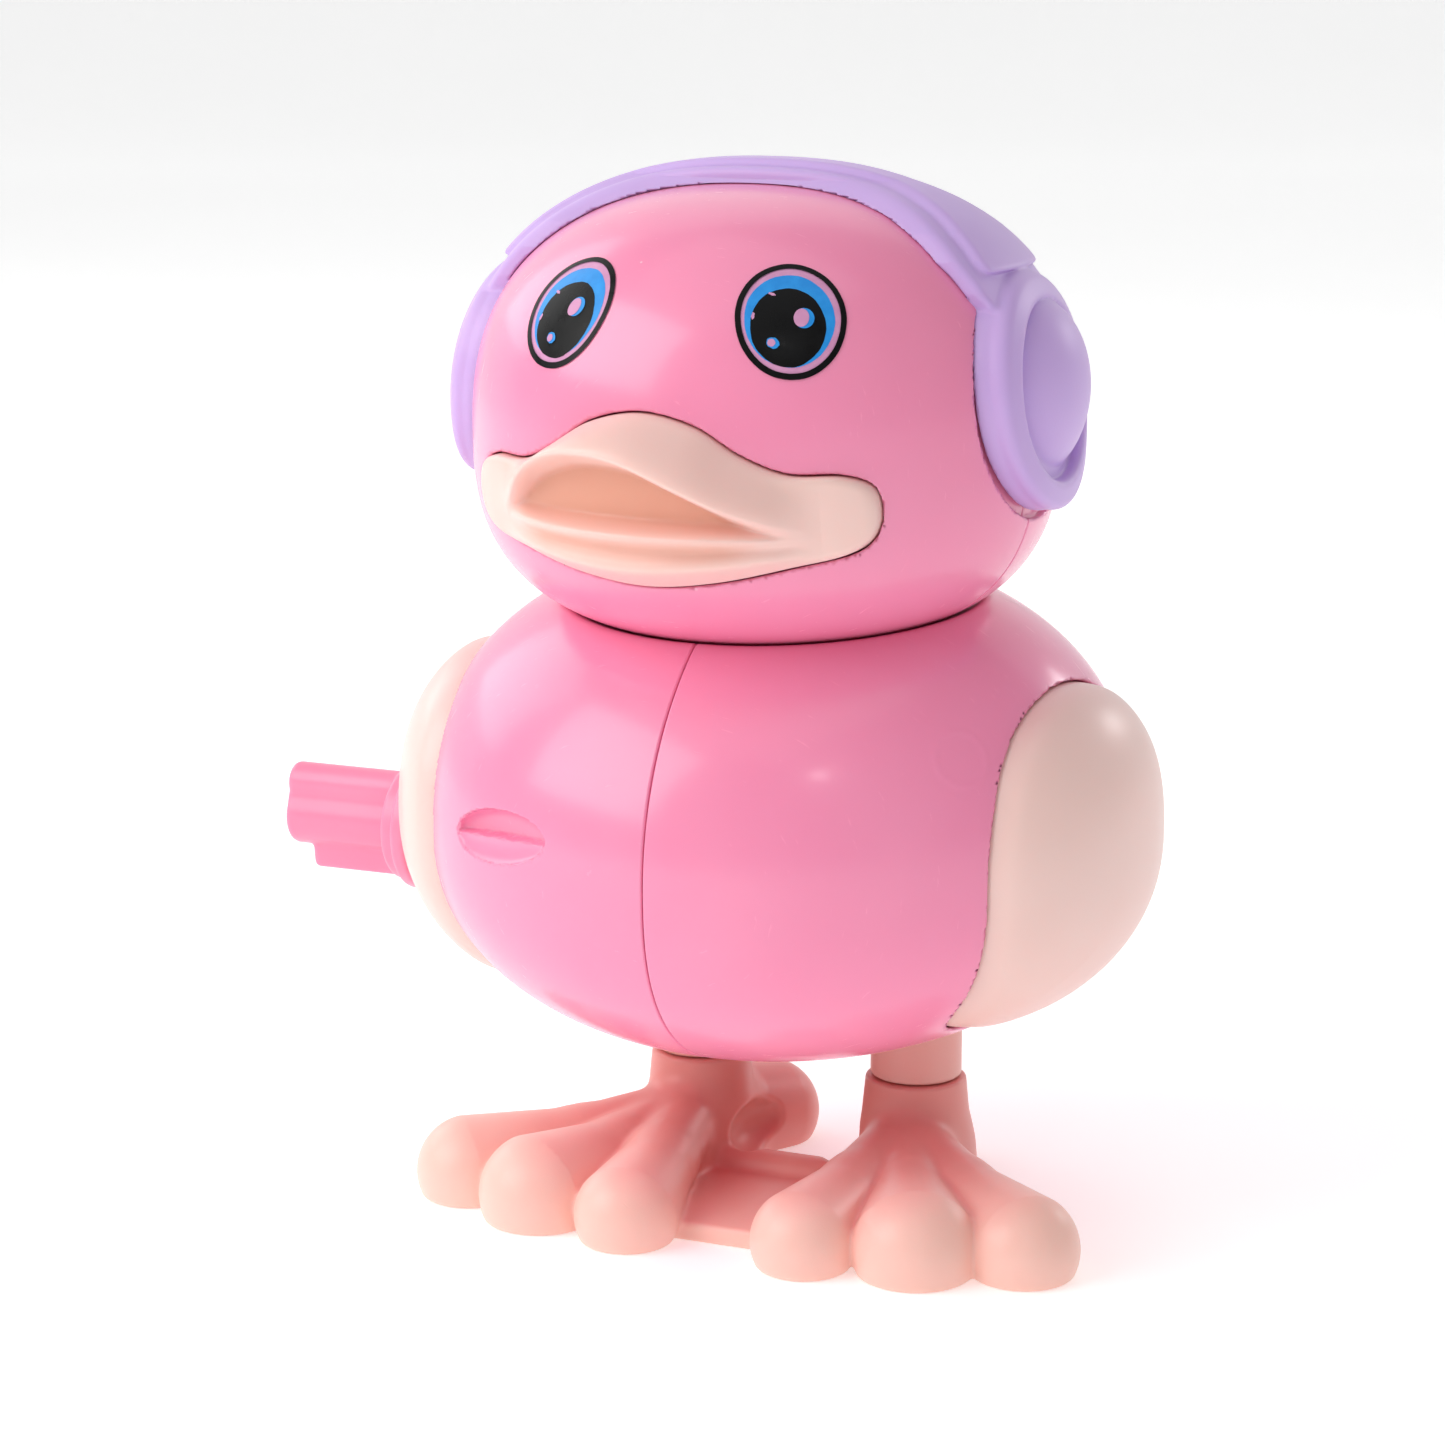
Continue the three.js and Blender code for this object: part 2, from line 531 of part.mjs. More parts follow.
function greatWheel() {
  const wheel = slabX(toothedShape(TEETH.great, GREAT_PHASE, ARBOR.y, ARBOR.z), 0, 1.2);
  const windows = [0, 1, 2, 3].map((i) => {
    const angle = (i * Math.PI) / 2 + Math.PI / 4;
    return rodX(1.7, -1, 3, ARBOR.y + 5.6 * Math.cos(angle), ARBOR.z + 5.6 * Math.sin(angle), 8);
  });
  return cut(wheel, rodX(ARBOR.radius + GAP, -1, 3, ARBOR.y, ARBOR.z), ...windows);
}

// The bent strip that clicks over the ratchet wheel; it rides on the great wheel.
function clickSpring() {
  const shape = new THREE.Shape();
  shape.moveTo(ARBOR.y + 6.6, ARBOR.z - 3.0);
  shape.lineTo(ARBOR.y + 7.6, ARBOR.z - 3.0);
  shape.lineTo(ARBOR.y + 6.0, ARBOR.z + 2.0);
  shape.lineTo(ARBOR.y + 4.3, ARBOR.z + 1.5);
  shape.lineTo(ARBOR.y + 4.4, ARBOR.z + 0.9);
  shape.lineTo(ARBOR.y + 5.4, ARBOR.z + 1.0);
  return slabX(shape, 1.5, 2.3);
}

function ratchetWheel() {
  const wheel = slabX(slantedShape(TEETH.ratchet, 3.8, 0.7, ARBOR.y, ARBOR.z), 1.5, 2.4);
  return cut(wheel, rodX(ARBOR.radius + GAP, 0, 4, ARBOR.y, ARBOR.z));
}

const windingArbor = () => rodX(ARBOR.radius, -40.6, CASE.half, ARBOR.y, ARBOR.z, 16);

function crankShaft() {
  const pinion = slabX(toothedShape(TEETH.crank, CRANK_PHASE, CRANK.y, CRANK.z), -0.3, 1.5);
  return join(pinion, rodX(CRANK.shaft, -7.0, 7.0, CRANK.y, CRANK.z, 14));
}

function crankDisc() {
  const disc = rodX(CRANK.disc, 6.0, 7.1, CRANK.y, CRANK.z, 20);
  const pin = rodX(CRANK.pin, 6.8, 9.9, CRANK.y, CRANK.z + CRANK.throw, 12);
  return join(cut(disc, rodX(CRANK.shaft + 0.2, 5, 8, CRANK.y, CRANK.z, 14)), pin);
}

function governorWheel() {
  const pinion = slabX(toothedShape(TEETH.governor, GOVERNOR_PHASE, GOVERNOR.y, GOVERNOR.z), -0.3, 1.5);
  const wheel = slabX(toothedShape(TEETH.governorWheel, 0, GOVERNOR.y, GOVERNOR.z), 2.7, 3.7);
  const core = rodX(1.2, -0.3, 3.7, GOVERNOR.y, GOVERNOR.z, 8);
  return join(pinion, wheel, core, rodX(0.7, -5.6, 5.6, GOVERNOR.y, GOVERNOR.z, 8));
}

function escapeWheel() {
  const pinion = slabX(toothedShape(TEETH.escape, ESCAPE_PHASE, ESCAPE.y, ESCAPE.z), 2.5, 3.9);
  const wheel = slabX(slantedShape(TEETH.escapeWheel, ESCAPE.radius, 0.9, ESCAPE.y, ESCAPE.z), 1.5, 2.4);
  const core = rodX(1.1, 1.5, 3.9, ESCAPE.y, ESCAPE.z, 8);
  return join(pinion, wheel, core, rodX(0.7, -5.6, 5.6, ESCAPE.y, ESCAPE.z, 8));
}

// The rocking anchor: a bar across its staff, with a tip on each side of the escape wheel.
function pallet() {
  const towards = lineAngle(PALLET, ESCAPE);
  const at = (u, v) => new THREE.Vector2(
    PALLET.y + u * Math.cos(towards) - v * Math.sin(towards),
    PALLET.z + u * Math.sin(towards) + v * Math.cos(towards),
  );
  const { reach, tip } = PALLET;
  const half = [
    [-0.9, reach - 0.1], [1.0, reach - 0.1], [tip, reach], [tip, reach - 0.7], [1.2, reach - 1.1],
  ];
  const other = half.map(([u, v]) => [u, -v]).reverse();
  const anchor = new THREE.Shape([...half, ...other].map(([u, v]) => at(u, v)));
  return join(slabX(anchor, 1.5, 2.4), rodX(0.7, -5.6, 5.6, PALLET.y, PALLET.z, 12));
}

const pivotShaft = () => rodX(PIVOT.radius, -10.2, 10.2, PIVOT.y, PIVOT.z, 14);

// ---------- winding key ----------
function windingKey() {
  const { tip, flangeOuter, flangeInner, flangeRadius, barHeight, barWidth, core } = KEY;
  const shape = new THREE.Shape();
  const half = barHeight / 2 - barWidth / 2;
  shape.absarc(0, half, barWidth / 2, 0, Math.PI, false);
  shape.absarc(0, -half, barWidth / 2, Math.PI, 2 * Math.PI, false);
  const bar = slabX(shape, tip, flangeOuter + 0.5, 8)
    .rotate([KEY.tilt, 0, 0])
    .translate([0, ARBOR.y, ARBOR.z]);
  const hub = rodX(core, tip + 0.8, flangeOuter + 0.5, ARBOR.y, ARBOR.z, 16);
  const flange = turnedX([
    [0, flangeOuter], [flangeRadius - 0.6, flangeOuter], [flangeRadius, flangeOuter + 0.6],
    [flangeRadius, flangeInner], [0, flangeInner],
  ], 24, ARBOR.y, ARBOR.z);
  return cut(join(bar, hub, flange), rodX(ARBOR.radius + 0.15, -41, flangeInner + 1, ARBOR.y, ARBOR.z, 16));
}

// ---------- assembly ----------
const duck = new THREE.Group();

function addPiece(name, part, look) {
  const mesh = part.getMesh();
  const stride = mesh.numProp;
  const places = new Float32Array((mesh.vertProperties.length / stride) * 3);
  for (let i = 0; i < places.length / 3; i++) {
    for (let k = 0; k < 3; k++) places[3 * i + k] = mesh.vertProperties[stride * i + k];
  }
  const geometry = new THREE.BufferGeometry();
  geometry.setAttribute('position', new THREE.BufferAttribute(places, 3));
  geometry.setIndex(new THREE.BufferAttribute(Uint32Array.from(mesh.triVerts), 1));
  geometry.computeVertexNormals();
  const piece = new THREE.Mesh(geometry, new THREE.MeshStandardMaterial(COLOURS[look]));
  piece.name = name;
  duck.add(piece);
}

const body = bodyShells();
addPiece('body_shell_left', body.left, 'pinkShell');
addPiece('body_shell_right', body.right, 'pinkShell');
addPiece('wing_left', wing(), 'cream');
addPiece('wing_right', cut(mirrored(wing()), keyHole(ARBOR.radius + 0.8)), 'cream');

const head = headShells();
addPiece('head_shell_front', head.front, 'pinkShell');
addPiece('head_shell_rear', head.rear, 'pinkShell');
addPiece('beak', beak(), 'cream');
addPiece('headphones', headphones(), 'purple');
addPiece('neck_spool', neckSpool(), 'casePlastic');

addPiece('feet', feet(), 'peach');
addPiece('leg_left', leg(), 'peach');
addPiece('leg_right', mirrored(leg()), 'peach');

addPiece('winding_key', windingKey(), 'keyPink');
addPiece('winding_arbor', windingArbor(), 'steel');
addPiece('ratchet_wheel', ratchetWheel(), 'steel');
addPiece('mainspring', mainspring(), 'steel');
addPiece('great_wheel', greatWheel(), 'gearPlastic');
addPiece('click_spring', clickSpring(), 'steel');
addPiece('crank_shaft', crankShaft(), 'gearPlastic');
addPiece('crank_disc_left', crankDisc(), 'gearPlastic');
addPiece('crank_disc_right', mirrored(crankDisc()), 'gearPlastic');
addPiece('governor_wheel', governorWheel(), 'gearPlastic');
addPiece('escape_wheel', escapeWheel(), 'gearPlastic');
addPiece('pallet', pallet(), 'gearPlastic');
addPiece('pivot_shaft', pivotShaft(), 'steel');
addPiece('motor_case_left', motorCase(1), 'casePlastic');
addPiece('motor_case_right', motorCase(-1), 'casePlastic');

['upper', 'lower'].forEach((place, i) => {
  const [y, z] = BOSS_PLACES[i];
  addPiece(`body_screw_${place}`, screwX(BOSS.headSeat - 1.5, y, z, 19.5, 0.95, 2.0), 'steel');
});
[['left', 1], ['right', -1]].forEach(([place, side]) => {
  const screw = screwY(side * HEAD_SCREWS.x, HEAD_SCREWS.seat + 1.5, HEAD_SCREWS.z, 20, 0.95, 2.0);
  addPiece(`head_screw_${place}`, screw, 'steel');
});
CASE_SCREWS.forEach(([y, z], i) => {
  addPiece(`motor_screw_${i + 1}`, screwX(-CASE.half - 1.5, y, z, 9.5, 0.6, 1.3), 'steel');
});

export default duck;
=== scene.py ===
"""A wind-up hopping duck with headphones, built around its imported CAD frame.

Shapes are drawn as fields: functions of x, y and z that are negative inside the plastic. Each one is
meshed on a grid, and its points are then settled onto the exact surface. Fields work in millimetres in
the frame's own axes, +Z up and -Y the way the duck looks; meshes are stored in metres.
"""

import json
import math

import bmesh
import bpy
import numpy as np
from mathutils import Matrix, Vector


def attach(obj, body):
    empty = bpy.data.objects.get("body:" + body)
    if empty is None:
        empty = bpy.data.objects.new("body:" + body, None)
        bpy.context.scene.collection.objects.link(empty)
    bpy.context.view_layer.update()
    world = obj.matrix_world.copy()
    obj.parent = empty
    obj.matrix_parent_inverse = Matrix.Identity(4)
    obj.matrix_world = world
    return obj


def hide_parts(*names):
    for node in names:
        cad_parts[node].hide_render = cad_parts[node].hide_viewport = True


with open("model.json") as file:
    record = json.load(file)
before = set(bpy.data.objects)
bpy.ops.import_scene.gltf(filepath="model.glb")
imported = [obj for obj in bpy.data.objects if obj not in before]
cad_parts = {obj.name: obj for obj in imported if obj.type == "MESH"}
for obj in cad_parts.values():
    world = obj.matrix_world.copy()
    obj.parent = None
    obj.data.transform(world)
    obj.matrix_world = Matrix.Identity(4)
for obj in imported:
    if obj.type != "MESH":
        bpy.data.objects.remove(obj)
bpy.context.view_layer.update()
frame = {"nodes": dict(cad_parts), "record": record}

MM = 0.001

# ---------- driving dimensions, in millimetres ----------
BODY = {"radius": 28.2, "bottom": 15.2, "top": 56.6, "widest": 34.1, "lower_power": 2.4, "upper_power": 2.05}
BODY_SIDE = {**BODY, "radius": 29.7, "lower_power": 2.2, "upper_power": 2.35}
HEAD = {"radius": 23.84, "bottom": 50.17, "top": 86.88, "widest": 67.35, "lower_power": 2.72, "upper_power": 2.41}
HEAD_Y = -3.0
HEAD_SPLIT_Y = -5.2
BODY_WALL = 2.0
HEAD_WALL = 1.8
NECK_GAP = 0.17                 # between the head and the dish it turns in
GAP = 0.3
SEAM = 0.035                    # half the width of a closed seam between two shells
INSET_GAP = 0.13                # round the wings and the bill
NECK_HOLE = 5.7
BOSS, SCREW_HOLE, SCREW_HEAD_HOLE = 3.4, 1.25, 2.3
ARBOR_HOLE = 2.4
SHAFT_HOLE = 1.55               # in the legs' arms, for the pivot shaft and the crank pins
SPIGOT = 2.3                    # each leg's plug, and the socket it stands in
SOCKET = 2.6
FACE_TURN = math.radians(1.8)   # the face sits a little off the head's middle line

LEG_X, LEG_Y = 10.0, 6.6
LEG_RADIUS = 3.9
ANKLE_TOP = 10.6
LEG_TOP = 18.2
PIVOT = (8.6, 22.2)
CRANK = (9.0, 36.65)
ARBOR_Z = 29.9

WING_OUTLINE = [
    (-15.5, 38.6), (-13.2, 43), (-9, 46.1), (-3, 47.5), (3.4, 46.5), (8.1, 43), (10.1, 37.4),
    (9.6, 31.1), (6.4, 25.2), (1, 21.4), (-5.5, 20.2), (-12.2, 21.5), (-15.2, 27.1), (-16.2, 33.6),
]
WING_RISE = 2.75                # how far the middle of a wing stands out from the body's skin
WING_ROUND = 11.5               # and over what distance from its edge it rises
BEAK_TOP = [(0, 71), (4.3, 70.1), (7.7, 68), (11, 66.6), (14.6, 66.4), (16.5, 65.3)]
BEAK_BOTTOM = [(16.7, 62.6), (15.2, 60.6), (11, 59.4), (5.5, 58.1), (0, 57.5)]
CUP_Y, CUP_Z = -2.9, 71.2
BAND_HALF = [                   # height, and half of the headband's width there
    (76.2, 6.2), (79.1, 7.5), (81.6, 7.6), (83.6, 6.7), (85.8, 4.9), (87.2, 3.4), (89.6, 3.3),
]
CUP_DEEP, CUP_HIGH = 9.9, 9.4   # half sizes of a cup, seen from the side
TOES = [(7.9, -14.0, 4.4), (16.8, -12.0, 5.2), (24.9, -8.8, 4.7)]
HEEL = (7.2, 15.2, 4.6)


# ---------- fields ----------
def smooth_min(a, b, radius):
    """The nearer of two surfaces, with the crease between them filled to about this radius."""
    share = np.clip(0.5 + 0.5 * (b - a) / radius, 0, 1)
    return b + (a - b) * share - radius * share * (1 - share)


def smooth_max(a, b, radius):
    return -smooth_min(-a, -b, radius)


def cut(whole, *parts, radius=0.25):
    for part in parts:
        whole = smooth_max(whole, -part, radius)
    return whole


def join(*parts, radius=0.25):
    whole = parts[0]
    for part in parts[1:]:
        whole = smooth_min(whole, part, radius)
    return whole


def both(*parts, radius=0.25):
    whole = parts[0]
    for part in parts[1:]:
        whole = smooth_max(whole, part, radius)
    return whole


def ease(value, low, high):
    """0 below low, 1 above high, and smooth between them."""
    t = np.clip((value - low) / (high - low), 0, 1)
    return t * t * (3 - 2 * t)


def hull_radius(hull, z):
    lower = z < hull["widest"]
    power = np.where(lower, hull["lower_power"], hull["upper_power"])
    height = np.where(lower, hull["widest"] - hull["bottom"], hull["top"] - hull["widest"])
    rise = np.minimum(np.abs(z - hull["widest"]) / height, 1)
    return hull["radius"] * (1 - rise ** power) ** (1 / power)


def hull_field(hull, across, z, grow=0.0):
    """Distance from a rounded hull, grown all round, to a point this far from its axis at this height."""
    lower = z < hull["widest"]
    power = np.where(lower, hull["lower_power"], hull["upper_power"])
    height = np.where(lower, hull["widest"] - hull["bottom"], hull["top"] - hull["widest"]) + grow
    radius = hull["radius"] + grow
    u = np.maximum(across / radius, 1e-4)
    v = np.maximum(np.abs(z - hull["widest"]) / height, 1e-4)
    gauge = (u ** power + v ** power) ** (1 / power)
    slope = np.hypot((u / gauge) ** (power - 1) / radius, (v / gauge) ** (power - 1) / height)
    return (gauge - 1) / slope


def body_hull(x, y, z, grow=0.0):
    narrower = (hull_radius(BODY, z) + 0.5) / (hull_radius(BODY_SIDE, z) + 0.5)
    return hull_field(BODY, np.hypot(x * narrower, y), z, grow)


def head_hull(x, y, z, grow=0.0):
    return hull_field(HEAD, np.hypot(x, y - HEAD_Y), z, grow)


def ellipsoid(x, y, z, centre, radii):
    parts = [(p - c) / r for p, c, r in zip((x, y, z), centre, radii)]
    gauge = np.sqrt(sum(p * p for p in parts)) + 1e-6
    slope = np.sqrt(sum((p / r) ** 2 for p, r in zip(parts, radii))) + 1e-6
    return (gauge - 1) * gauge / slope


def rod(u, v, radius, centre=(0.0, 0.0)):
    """A round rod of endless length, seen along its axis."""
    return np.hypot(u - centre[0], v - centre[1]) - radius


def rods(u, v, radius, centres):
    return np.minimum(*[rod(u, v, radius, centre) for centre in centres])


def between(value, low, high):
    return np.maximum(low - value, value - high)


def tapered_rod(x, y, z, start, start_radius, end, end_radius):
    axis = np.subtract(end, start)
    length = np.linalg.norm(axis)
    t = ((x - start[0]) * axis[0] + (y - start[1]) * axis[1] + (z - start[2]) * axis[2]) / length ** 2
    t = np.clip(t, 0, 1)
    away = np.sqrt(sum((p - s - t * a) ** 2 for p, s, a in zip((x, y, z), start, axis)))
    return away - start_radius - t * (end_radius - start_radius)


def spline(a, b, c, d, divisions):
    """Catmull-Rom curves from each point of b to the one in c, with the neighbours a and d on either side."""
    a, b, c, d = (q[:, None, :] for q in (a, b, c, d))
    t = (np.arange(divisions) / divisions)[None, :, None]
    curve = 0.5 * (2 * b + (c - a) * t + (2 * a - 5 * b + 4 * c - d) * t ** 2 + (3 * b - a - 3 * c + d) * t ** 3)
    return curve.reshape(-1, 2)


def smooth_loop(points, divisions=24):
    """A smooth closed curve through the points."""
    p = np.array(points, float)
    return spline(np.roll(p, 1, 0), p, np.roll(p, -1, 0), np.roll(p, -2, 0), divisions)


def smooth_table(points, divisions=10):
    """Closely spaced points of a smooth curve through the given ones, from left to right."""
    p = np.array(points, float)
    p = np.concatenate([2 * p[:1] - p[1:2], p, 2 * p[-1:] - p[-2:-1]])
    curve = spline(*(p[k:len(p) - 3 + k] for k in range(4)), divisions)
    return np.concatenate([curve, p[-2:-1]]).T


def mirrored(points):
    return [(-u, v) for u, v in points[:0:-1]] + points


class FlatOutline:
    """Distance to a closed curve in a plane, negative inside, kept as a table and read between its points."""

    PITCH = 0.1
    MARGIN = 3.0

    def __init__(self, points):
        curve = smooth_loop(points)
        self.low = curve.min(0) - self.MARGIN
        counts = np.ceil((curve.max(0) + self.MARGIN - self.low) / self.PITCH).astype(int)
        u, v = np.meshgrid(*(self.low[k] + self.PITCH * np.arange(counts[k]) for k in (0, 1)), indexing="ij")
        nearest = np.full(u.shape, np.inf)
        inside = np.zeros(u.shape, bool)
        for (au, av), (bu, bv) in zip(curve, np.roll(curve, -1, 0)):
            du, dv = bu - au, bv - av
            t = np.clip(((u - au) * du + (v - av) * dv) / (du * du + dv * dv), 0, 1)
            nearest = np.minimum(nearest, (u - au - t * du) ** 2 + (v - av - t * dv) ** 2)
            if dv:
                crosses = ((av > v) != (bv > v)) & (u < au + (v - av) * du / dv)
                inside ^= crosses
        self.table = np.where(inside, -1, 1) * np.sqrt(nearest)

    def __call__(self, u, v):
        ends = np.array(self.table.shape) - 1.001
        place = [np.clip((w - low) / self.PITCH, 0, end) for w, low, end in zip((u, v), self.low, ends)]
        (i, j), (s, t) = [p.astype(int) for p in place], [p - p.astype(int) for p in place]
        near = self.table[i, j] * (1 - s) + self.table[i + 1, j] * s
        far = self.table[i, j + 1] * (1 - s) + self.table[i + 1, j + 1] * s
        return near * (1 - t) + far * t


# ---------- from a field to a mesh ----------
BLOCK = 4          # grid cells along the side of a block that is worked out together


def sample_field(field, low, counts, step):
    """The field on a grid, worked out point by point only in blocks that the surface can pass through."""
    blocks = [-(-n // BLOCK) for n in counts]
    middles = [low[k] + step * (BLOCK * np.arange(blocks[k]) + (BLOCK - 1) / 2) for k in range(3)]
    coarse = field(*np.meshgrid(*middles, indexing="ij"))
    values = np.repeat(np.repeat(np.repeat(coarse, BLOCK, 0), BLOCK, 1), BLOCK, 2).astype(np.float32)
    reach = 1.7 * step * BLOCK * math.sqrt(3) / 2
    near = np.argwhere(np.abs(coarse) < reach)
    inner = np.stack(np.meshgrid(*[np.arange(BLOCK)] * 3, indexing="ij"), -1)
    places = low + step * (BLOCK * near[:, None, None, None, :] + inner)
    split = values.reshape(blocks[0], BLOCK, blocks[1], BLOCK, blocks[2], BLOCK).transpose(0, 2, 4, 1, 3, 5)
    split[near[:, 0], near[:, 1], near[:, 2]] = field(places[..., 0], places[..., 1], places[..., 2])
    return values


def grid_surface(values, low, step):
    """Points and four-sided faces of the surface where the values change sign, faces turned outwards."""
    shape = np.array(values.shape)
    unit = np.eye(3, dtype=int)
    corner_cells, corner_points = [], []
    for axis in range(3):
        u, v = unit[(axis + 1) % 3], unit[(axis + 2) % 3]
        ends = [slice(None)] * 3
        ends[axis] = slice(0, -1)
        starts = values[tuple(ends)]
        ends[axis] = slice(1, None)
        edges = np.argwhere((starts < 0) != (values[tuple(ends)] < 0))
        edges = edges[((edges > 0) | (unit[axis] == 1)).all(1)]
        first = values[tuple(edges.T)].astype(float)
        second = values[tuple((edges + unit[axis]).T)].astype(float)
        points = edges + (first / (first - second))[:, None] * unit[axis]
        around = np.stack([edges - u - v, edges - v, edges, edges - u], 1)
        around[first >= 0] = around[first >= 0][:, ::-1]
        corner_cells.append((around @ [shape[1] * shape[2], shape[2], 1]))
        corner_points.append(np.repeat(points[:, None], 4, 1))
    cells = np.concatenate(corner_cells)
    points = np.concatenate(corner_points).reshape(-1, 3)
    _, corners = np.unique(cells, return_inverse=True)
    corners = corners.reshape(-1)
    share = np.bincount(corners)
    middles = np.stack([np.bincount(corners, points[:, k]) / share for k in range(3)], 1)
    return low + step * middles, corners.reshape(-1, 4)


def slopes(field, points):
    e = 0.02
    out = np.empty_like(points)
    for k in range(3):
        ahead, behind = points.copy(), points.copy()
        ahead[:, k] += e
        behind[:, k] -= e
        out[:, k] = (field(*ahead.T) - field(*behind.T)) / (2 * e)
    return out


def unit_rows(rows):
    return rows / np.maximum(np.linalg.norm(rows, axis=1, keepdims=True), 1e-9)


def settled(field, points, longest, rounds=4):
    """Points moved onto the field's own surface, each round by no more than the longest step."""
    for _ in range(rounds):
        slope = slopes(field, points)
        move = field(*points.T)[:, None] * slope / np.maximum((slope ** 2).sum(1), 1e-6)[:, None]
        length = np.maximum(np.linalg.norm(move, axis=1), 1e-9)
        points = points - move * np.minimum(1, longest / length)[:, None]
    return points


def skin_of(field, low, high, step):
    low = np.array(low, float)
    counts = np.ceil((np.array(high) - low) / step).astype(int) + 1
    points, faces = grid_surface(sample_field(field, low, counts, step), low, step)
    return settled(field, points, step), faces


def placed(name, data):
    made = bpy.data.objects.new(name, data)
    bpy.context.scene.collection.objects.link(made)
    return made


def mesh_object(name, points, faces, normals=None):
    """An object from points in millimetres, smooth shaded, with the given normals at its points."""
    mesh = bpy.data.meshes.new(name)
    mesh.from_pydata((np.asarray(points) * MM).tolist(), [], [list(map(int, face)) for face in faces])
    mesh.polygons.foreach_set("use_smooth", [True] * len(mesh.polygons))
    mesh.update()
    if normals is not None:
        mesh.normals_split_custom_set_from_vertices(np.asarray(normals).tolist())
    return placed(name, mesh)


def dressed(piece, body, slot, material, *nodes):
    """Puts a piece on its CAD body, in its finish, in place of the CAD nodes it stands for."""
    piece.data.materials.append(material)
    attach(piece, body)
    if nodes:
        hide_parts(*nodes)
    return piece


def shade(piece, attribute, values):
    """Keeps a value between 0 and 1 for each of the piece's points, for its finish to read."""
    kept = piece.data.attributes.new(attribute, "FLOAT", "POINT")
    kept.data.foreach_set("value", np.asarray(values, np.float32))


def places_of(piece):
    return np.array([v.co for v in piece.data.vertices]) / MM


def field_piece(name, field, low, high, step):
    points, faces = skin_of(field, low, high, step)
    return mesh_object(name, points, faces, unit_rows(slopes(field, points)))


LIP = 0.2         # radius of the rounded edge along a seam


def seam_half(name, field, surface, origin, direction):
    """The part of a shell on direction's side, with a cap and a rounded lip at the seam."""
    points, faces = surface
    direction = np.array(direction, float)
    origin = np.array(origin, float)
    ahead = (points - origin) @ direction
    kept = faces[(ahead[faces] > 0).any(1)]
    used, renumbered = np.unique(kept, return_inverse=True)
    net = bmesh.new()
    verts = [net.verts.new(p) for p in points[used]]
    for face in renumbered.reshape(-1, 4).tolist():
        net.faces.new([verts[i] for i in face])
    for inset in (0.0, 0.35 * LIP, LIP):
        place = origin + inset * direction
        close = [f for f in net.faces if abs((np.array(f.calc_center_median()) - place) @ direction) < 1.0]
        parts = close + list({e for f in close for e in f.edges}) + list({v for f in close for v in f.verts})
        bmesh.ops.bisect_plane(
            net, geom=parts, dist=1e-4, clear_inner=inset == 0.0,
            plane_co=Vector(place), plane_no=Vector(direction),
        )
    rim = [e for e in net.edges if e.is_boundary]
    cap = bmesh.ops.triangle_fill(net, use_beauty=False, use_dissolve=False, edges=rim)["geom"]
    capped = {f for f in cap if isinstance(f, bmesh.types.BMFace)}
    net.verts.index_update()
    places = np.array([v.co for v in net.verts])
    outward = unit_rows(slopes(field, places))
    depth = np.clip(LIP - (places - origin) @ direction, 0, LIP)
    inward = unit_rows(outward - (outward @ direction)[:, None] * direction)
    tilt = depth / LIP
    for vert, shift in zip(net.verts, inward * (LIP - np.sqrt(LIP ** 2 - depth ** 2))[:, None]):
        vert.co -= Vector(shift)
    rounded = unit_rows(outward * np.sqrt(1 - 0.98 * tilt ** 2)[:, None] - direction * tilt[:, None])
    bmesh.ops.recalc_face_normals(net, faces=list(capped))
    for face in capped:
        if face.normal @ Vector(direction) > 0:
            face.normal_flip()
    net.faces.index_update()
    corner_normals = []
    for face in net.faces:
        for corner in face.loops:
            corner_normals.append(tuple(-direction) if face in capped else tuple(rounded[corner.vert.index]))
    mesh = bpy.data.meshes.new(name)
    net.to_mesh(mesh)
    net.free()
    mesh.transform(Matrix.Scale(MM, 4))
    mesh.polygons.foreach_set("use_smooth", [True] * len(mesh.polygons))
    mesh.normals_split_custom_set(corner_normals)
    return placed(name, mesh)


# ---------- body and wings ----------
wing_outline = FlatOutline(WING_OUTLINE)
BODY_BOSSES = [(19, 44.1), (19, 28.1)]
RING_MARK = (22.3, -16.6, 44.6)


def tail(x, y, z):
    return tapered_rod(x, y, z, (0, 22.6, 40.6), 6.4, (0, 31.2, 44.8), 2.0)


def ring_mark(x, y, z):
    """The faint round mark that an ejector pin leaves."""
    away = np.sqrt((x - RING_MARK[0]) ** 2 + (y - RING_MARK[1]) ** 2 + (z - RING_MARK[2]) ** 2)
    return 0.035 * np.exp(-((away - 2.5) / 0.3) ** 2)


def notch_depth(x, y, z):
    """The almond-shaped dent in the right side of the breast: a deep upper scoop over a shallow lower one."""
    along = 0.884 * (x + 14.4) - 0.468 * (y + 24.4)
    above = z - 36.1 - 0.09 * along
    upper = 1.85 * np.clip(1 - (along / 5.8) ** 2 - (above / 2.35) ** 2, 0, 1) ** 0.4
    lower = 0.75 * np.sqrt(np.clip(1 - (along / 5.7) ** 2 - (above / 2.0) ** 2, 0, 1))
    return np.where(y < 0, lower + (upper - lower) * ease(above, -0.12, 0.12), 0)


